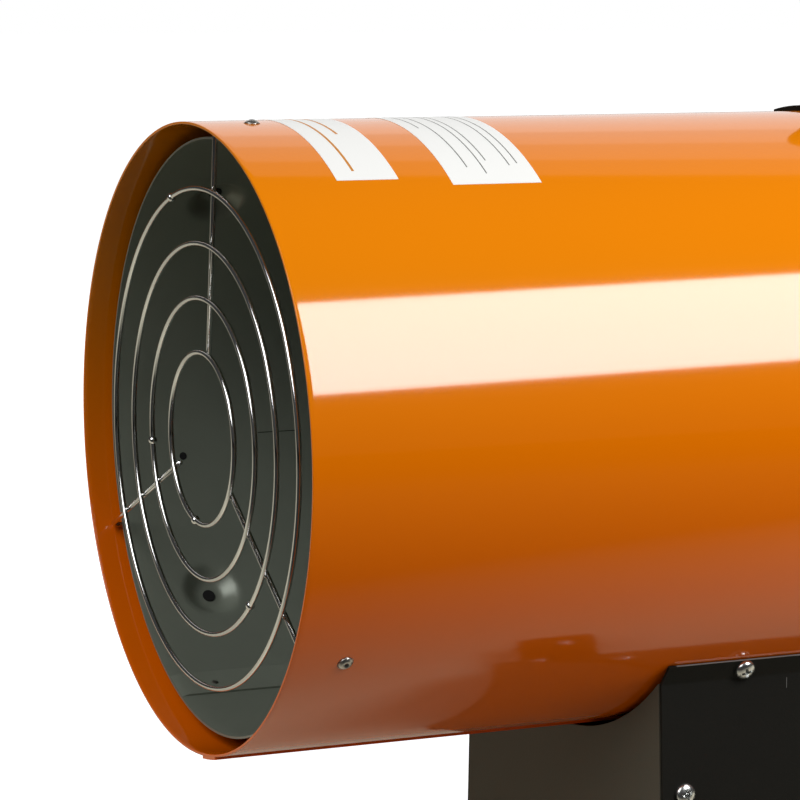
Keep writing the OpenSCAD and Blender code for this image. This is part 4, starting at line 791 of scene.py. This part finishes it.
# %% All screws
GUARD_CLOCKS, GUARD_AT = (45, 135, 225, 315), 479 * MM
STRAP_CLOCKS, STRAP_AT = (90, 270), 477 * MM
BRACKET_LOW_AT, BRACKET_TOP_AT = 324.2 * MM, 333 * MM
HANDLE_CLOCKS, HANDLE_AT, HANDLE_T = (-7.5, 7.5), (270 * MM, 390 * MM), 2.2 * MM
COVER_ROWS_IN, COVER_TOP_DOWN, COVER_LOW_UP = 9.5 * MM, 41 * MM, 22 * MM
RAIL_ROWS_IN = 34 * MM
FOOT_X, RAIL_SCREW_X = 110 * MM, 46 * MM
TOP, BOTTOM = 0, 180


def round_places(clocks, behind, radius=CASING_R):
    """A place and its direction at every angle and distance behind the rim."""
    return [(on_round(c, radius, b), outward(c)) for c in clocks for b in behind]


def mirrored(places):
    """The places and their mirror images on the far side."""
    return places + [(Vector((-p.x, p.y, p.z)), Vector((-d.x, d.y, d.z))) for p, d in places]


def cover_place(y, z):
    """A place on the leaning near cover, and the way it faces."""
    x = COVER_OUT + (BEND_Z - z) * tan(SPLAY)
    return Vector((x, y, z)), Vector((cos(SPLAY), 0, sin(SPLAY)))


def flange_place(y):
    """A place halfway up the near cover's flange, and the way it faces."""
    x = COVER_OUT + FLANGE_LEN / 2 * sin(LEAN)
    z = BEND_Z + FLANGE_LEN / 2 * cos(LEAN)
    return Vector((x, y, z)), Vector((cos(LEAN), 0, -sin(LEAN)))


def upright_place(x, y, z):
    """A place on the near side with its screw pointing straight up."""
    return Vector((x, y, z)), Vector((0, 0, 1))


cover_ys = (BASE_FRONT + COVER_ROWS_IN, BASE_END - COVER_ROWS_IN)
cover_zs = (BEND_Z - COVER_TOP_DOWN, BASE_Z + COVER_LOW_UP)
rail_ys = (BASE_FRONT + RAIL_ROWS_IN, BASE_END - RAIL_ROWS_IN)
screws("guard_screw_heads", "guard_screws", round_places(GUARD_CLOCKS, [GUARD_AT]))
screws("strap_screw_heads", "strap_screws", round_places(STRAP_CLOCKS, [STRAP_AT]))
screws("bracket_screw_heads", "bracket_screws",
       round_places([BOTTOM], [BRACKET_LOW_AT]) + round_places([TOP], [BRACKET_TOP_AT]))
screws("cover_screw_heads", "cover_screws",
       mirrored([cover_place(y, z) for y in cover_ys for z in cover_zs]))
screws("flange_screw_heads", "flange_screws", mirrored([flange_place(y) for y in rail_ys]))
screws("foot_screw_heads", "foot_screws",
       mirrored([upright_place(FOOT_X, y, BASE_Z) for y in rail_ys]))
screws("rail_screw_heads", "rail_screws",
       mirrored([upright_place(RAIL_SCREW_X, y, BASE_Z + BASE_T) for y in rail_ys]))
screws("handle_screw_heads", "handle_screws",
       round_places(HANDLE_CLOCKS, HANDLE_AT, CASING_R + HANDLE_T))

# %% [markdown]
# The CAD model's own pieces keep their shape, but their meshes are loose triangles with hard
# facets. A copy of each is merged and shaded smoothly across its round faces. The copies that
# show most also get the tiny bevel that every pressed, turned or moulded edge has, and
# weighted normals, which keep the faces beside such a bevel looking flat.

# %% Smooth copies of the other pieces
EDGE_STEPS = 2


def dressed(node, edge=0.0, body=MAIN_BODY):
    """A merged, smooth copy of a CAD node, with its sharp edges broken by edge."""
    made = bmesh.new()
    made.from_mesh(NODES[node].data)
    copy = piece(node + "_fine", made, FINISHES[SLOT_OF[node]], replaces=[node],
                 body=body, recalc=False)
    if edge:
        soft = copy.modifiers.new("broken_edges", "BEVEL")
        soft.width = edge
        soft.segments = EDGE_STEPS
        soft.limit_method = "ANGLE"
        soft.angle_limit = SMOOTH_UP_TO
        soft.use_clamp_overlap = True
        flat = copy.modifiers.new("flat_faces", "WEIGHTED_NORMAL")
        flat.keep_sharp = True


PLAIN = ["liner_rivets", "grille_rivets", "outlet_grille", "rear_guard", "motor_bushes",
         "motor_nuts", "burner_plate", "flame_cup", "burner_bracket", "nozzle_holder",
         "holder_nut", "gas_nozzle", "gas_pipe", "pipe_nuts", "electrode_insulator",
         "electrode_wire", "igniter_lead", "thermocouple", "thermocouple_lead",
         "thermostat_bracket", "limit_thermostat", "grommets", "motor_lead", "motor_body",
         "motor_strap", "switch_body", "terminal_block", "gas_valve"]
# How far each piece's edges are broken, in millimetres.
SOFT_EDGED = {"side_cover_left": 0.25, "side_cover_right": 0.25, "base_frame": 0.25,
              "foot_rail_front": 0.4, "foot_rail_rear": 0.4, "rubber_feet": 0.6,
              "valve_nut": 0.3, "gas_inlet_fitting": 0.3, "igniter_body": 0.3, "igniter_nut": 0.3,
              "cable_gland": 0.3, "gland_nut": 0.3, "carry_handle": 0.3, "handle_grip": 0.5}
MOVERS = {"motor_shaft": "fan", "fan_impeller": "fan", "fan_nut": "fan",
          "valve_button": "valve_button", "igniter_button": "igniter_button",
          "switch_rocker": "rocker"}
MOVER_EDGE = 0.2 * MM
for node in PLAIN:
    dressed(node)
for node, edge in SOFT_EDGED.items():
    dressed(node, edge * MM)
for node, body in MOVERS.items():
    dressed(node, MOVER_EDGE, body)

# %% [markdown]
# The gas valve's button stops on the floor of its bore when it is pressed fully. Its hidden
# end is taken back by a hair, so that the two faces don't lie in one plane there.

# %% A hair off the button's hidden end
END_TRIM = 0.15 * MM
button = bpy.data.objects["valve_button_fine"].data
inner_end = min(v.co.y for v in button.vertices)
for v in button.vertices:
    if v.co.y < inner_end + END_TRIM:
        v.co.y += END_TRIM
print("button end at", round((inner_end + END_TRIM) / MM, 2), "mm")

# %% [markdown]
# Each ring of the grille was bent from one wire and closed with a butt weld, which leaves a
# small bead. The beads sit where the photograph shows them, one on each ring.

# %% Weld beads of the grille rings
RING_Y = 5.2 * MM
BEAD_R = 1.7 * MM
BEAD_SIDES, BEAD_RINGS = 16, 10
# Each bead's angle from the top and its ring's radius in millimetres.
BEADS = [(-18.5, 90.8), (139.4, 70.8), (-97.4, 51.2), (-167.6, 31.5)]
bm = bmesh.new()
for clock, ring_r in BEADS:
    bmesh.ops.create_uvsphere(bm, u_segments=BEAD_SIDES, v_segments=BEAD_RINGS, radius=BEAD_R,
                              matrix=Matrix.Translation(on_round(clock, ring_r * MM, RING_Y)))
piece("ring_beads", bm, chromed_wire)

# %% [markdown]
# The covers were sheared after coating, so the cut edge along the top of each flange shows
# bare metal as a fine bright line. A fine scratch on the near cover is kept too.

# %% Cut edges and a scratch on the covers
grey_edge = finish("grey_edge", (0.20, 0.20, 0.19), 0.4, metallic=0.2)
CUT_W, CUT_H, CUT_IN = 0.7 * MM, 0.12 * MM, 5 * MM
SCRATCH_AT, SCRATCH_DOWN = 205.4 * MM, 4.5 * MM
SCRATCH_T, SCRATCH_W, SCRATCH_H = 0.1 * MM, 0.16 * MM, 5.5 * MM
bm = bmesh.new()
edge_len = BASE_END - BASE_FRONT - 2 * CUT_IN
flange_top = Vector((COVER_OUT + FLANGE_LEN * sin(LEAN), 0, BEND_Z + FLANGE_LEN * cos(LEAN)))
into_sheet = Vector((-cos(LEAN), 0, sin(LEAN)))
centre = flange_top + into_sheet * BASE_T / 2 + Vector((0, (BASE_FRONT + BASE_END) / 2, 0))
for side in (1, -1):
    bar = bmesh.ops.create_cube(bm, size=1)["verts"]
    for v in bar:
        flat = Vector((v.co.x * CUT_W, v.co.y * edge_len, v.co.z * CUT_H))
        v.co = Matrix.Rotation(LEAN, 3, "Y") @ flat + centre
        v.co.x *= side
scratch_place = cover_place(FRONT_Y + SCRATCH_AT, BEND_Z - SCRATCH_DOWN)[0]
mark = bmesh.ops.create_cube(bm, size=1)["verts"]
for v in mark:
    v.co = scratch_place + Vector((v.co.x * SCRATCH_T, v.co.y * SCRATCH_W, v.co.z * SCRATCH_H))
piece("cover_cut_edges", bm, grey_edge)

# %% [markdown]
# The gas inlet has a male thread. Its crests are rings turned from one profile, one pitch
# apart, which stand a little proud of the CAD model's plain cylinder.

# %% Thread of the gas inlet
INLET_X = (cad_end("gas_inlet_fitting", LOW, X) + cad_end("gas_inlet_fitting", HIGH, X)) / 2
INLET_Z = (cad_end("gas_inlet_fitting", LOW, Z) + cad_end("gas_inlet_fitting", HIGH, Z)) / 2
INLET_END = cad_end("gas_inlet_fitting", HIGH, Y)
THREAD_R = 8.33 * MM
THREAD_LEN = 13 * MM
PITCH = 1.337 * MM
CREST_OUT, ROOT_IN, RIDGE_SHARE = 0.25 * MM, 0.3 * MM, 0.55
FIRST_CREST_IN = 1.2 * MM
THREAD_STEPS = 48
ridge = [(THREAD_R - ROOT_IN, -RIDGE_SHARE * PITCH), (THREAD_R + CREST_OUT, 0),
         (THREAD_R - ROOT_IN, RIDGE_SHARE * PITCH)]
bm = bmesh.new()
crests = int(THREAD_LEN / PITCH) - 1
for i in range(crests):
    at = INLET_END - FIRST_CREST_IN - i * PITCH
    verts, edges = chain(bm, [(INLET_X + r, at + y, INLET_Z) for r, y in ridge])
    bmesh.ops.spin(bm, geom=verts + edges, cent=(INLET_X, 0, INLET_Z), axis=(0, 1, 0), angle=2 * pi,
                   steps=THREAD_STEPS, use_merge=True, use_duplicate=False)
piece("inlet_thread", bm, brass)

# %% [markdown]
# Two white stickers lie over the top of the casing: a narrow one with two orange rules, and
# a wide one with six grey rules. Each is a thin strip turned about the axis, so it hugs the
# sheet, and the rules are thinner strips on top of it.

# %% Stickers
sticker_white = finish("sticker_white", (0.88, 0.88, 0.855), 0.45, tint=0.015, tint_scale=12)
orange_ink = finish("orange_ink", (0.62, 0.24, 0.03), 0.5, tint=0.05)
grey_ink = finish("grey_ink", (0.13, 0.13, 0.12), 0.5, tint=0.05)
STICKER_T = 0.12 * MM
INK_T = 0.03 * MM
GLUE = 0.01 * MM
WRAP_STEP = 1.25
# Each sticker's front and rear edge behind the rim in millimetres, and its end angles.
STICKERS = [(31.5, 55, -20, 33.2), (74.6, 109.3, -18, 35.2)]
# Each rule's place behind the rim in millimetres, and its end angles.
ORANGE_RULES = [(45.5, -10, 15.6), (39.6, -16, 30.5)]
GREY_RULES = [(80, -14, 12.9), (84, -14, 30.1), (90, -14, 32.2), (93, -14, 28),
              (101, -14, 29.8), (104.5, -14, 29.2)]
ORANGE_HALF, GREY_HALF = 0.5, 0.22


def wrapped(bm, low, high, start, end, under, thick):
    """A strip from clock start to clock end, between two distances behind the rim."""
    inner, outer = CASING_R + under, CASING_R + under + thick
    corners = [(inner, low), (inner, high), (outer, high), (outer, low)]
    verts, edges = chain(bm, [on_round(start, r, y) for r, y in corners])
    edges.append(bm.edges.new((verts[-1], verts[0])))
    face = bm.faces.new(verts)
    steps = max(2, round((end - start) / WRAP_STEP))
    spin_about_axis(bm, verts + edges + [face], radians(end - start), steps, False)


def rules(name, places, half, look):
    """One piece with a rule at every place, each half as wide to either side."""
    made = bmesh.new()
    for at, start, end in places:
        wrapped(made, (at - half) * MM, (at + half) * MM, start, end, STICKER_T, INK_T)
    piece(name, made, look)


bm = bmesh.new()
for low, high, start, end in STICKERS:
    wrapped(bm, low * MM, high * MM, start, end, GLUE, STICKER_T)
piece("stickers", bm, sticker_white)
rules("orange_rules", ORANGE_RULES, ORANGE_HALF, orange_ink)
rules("grey_rules", GREY_RULES, GREY_HALF, grey_ink)
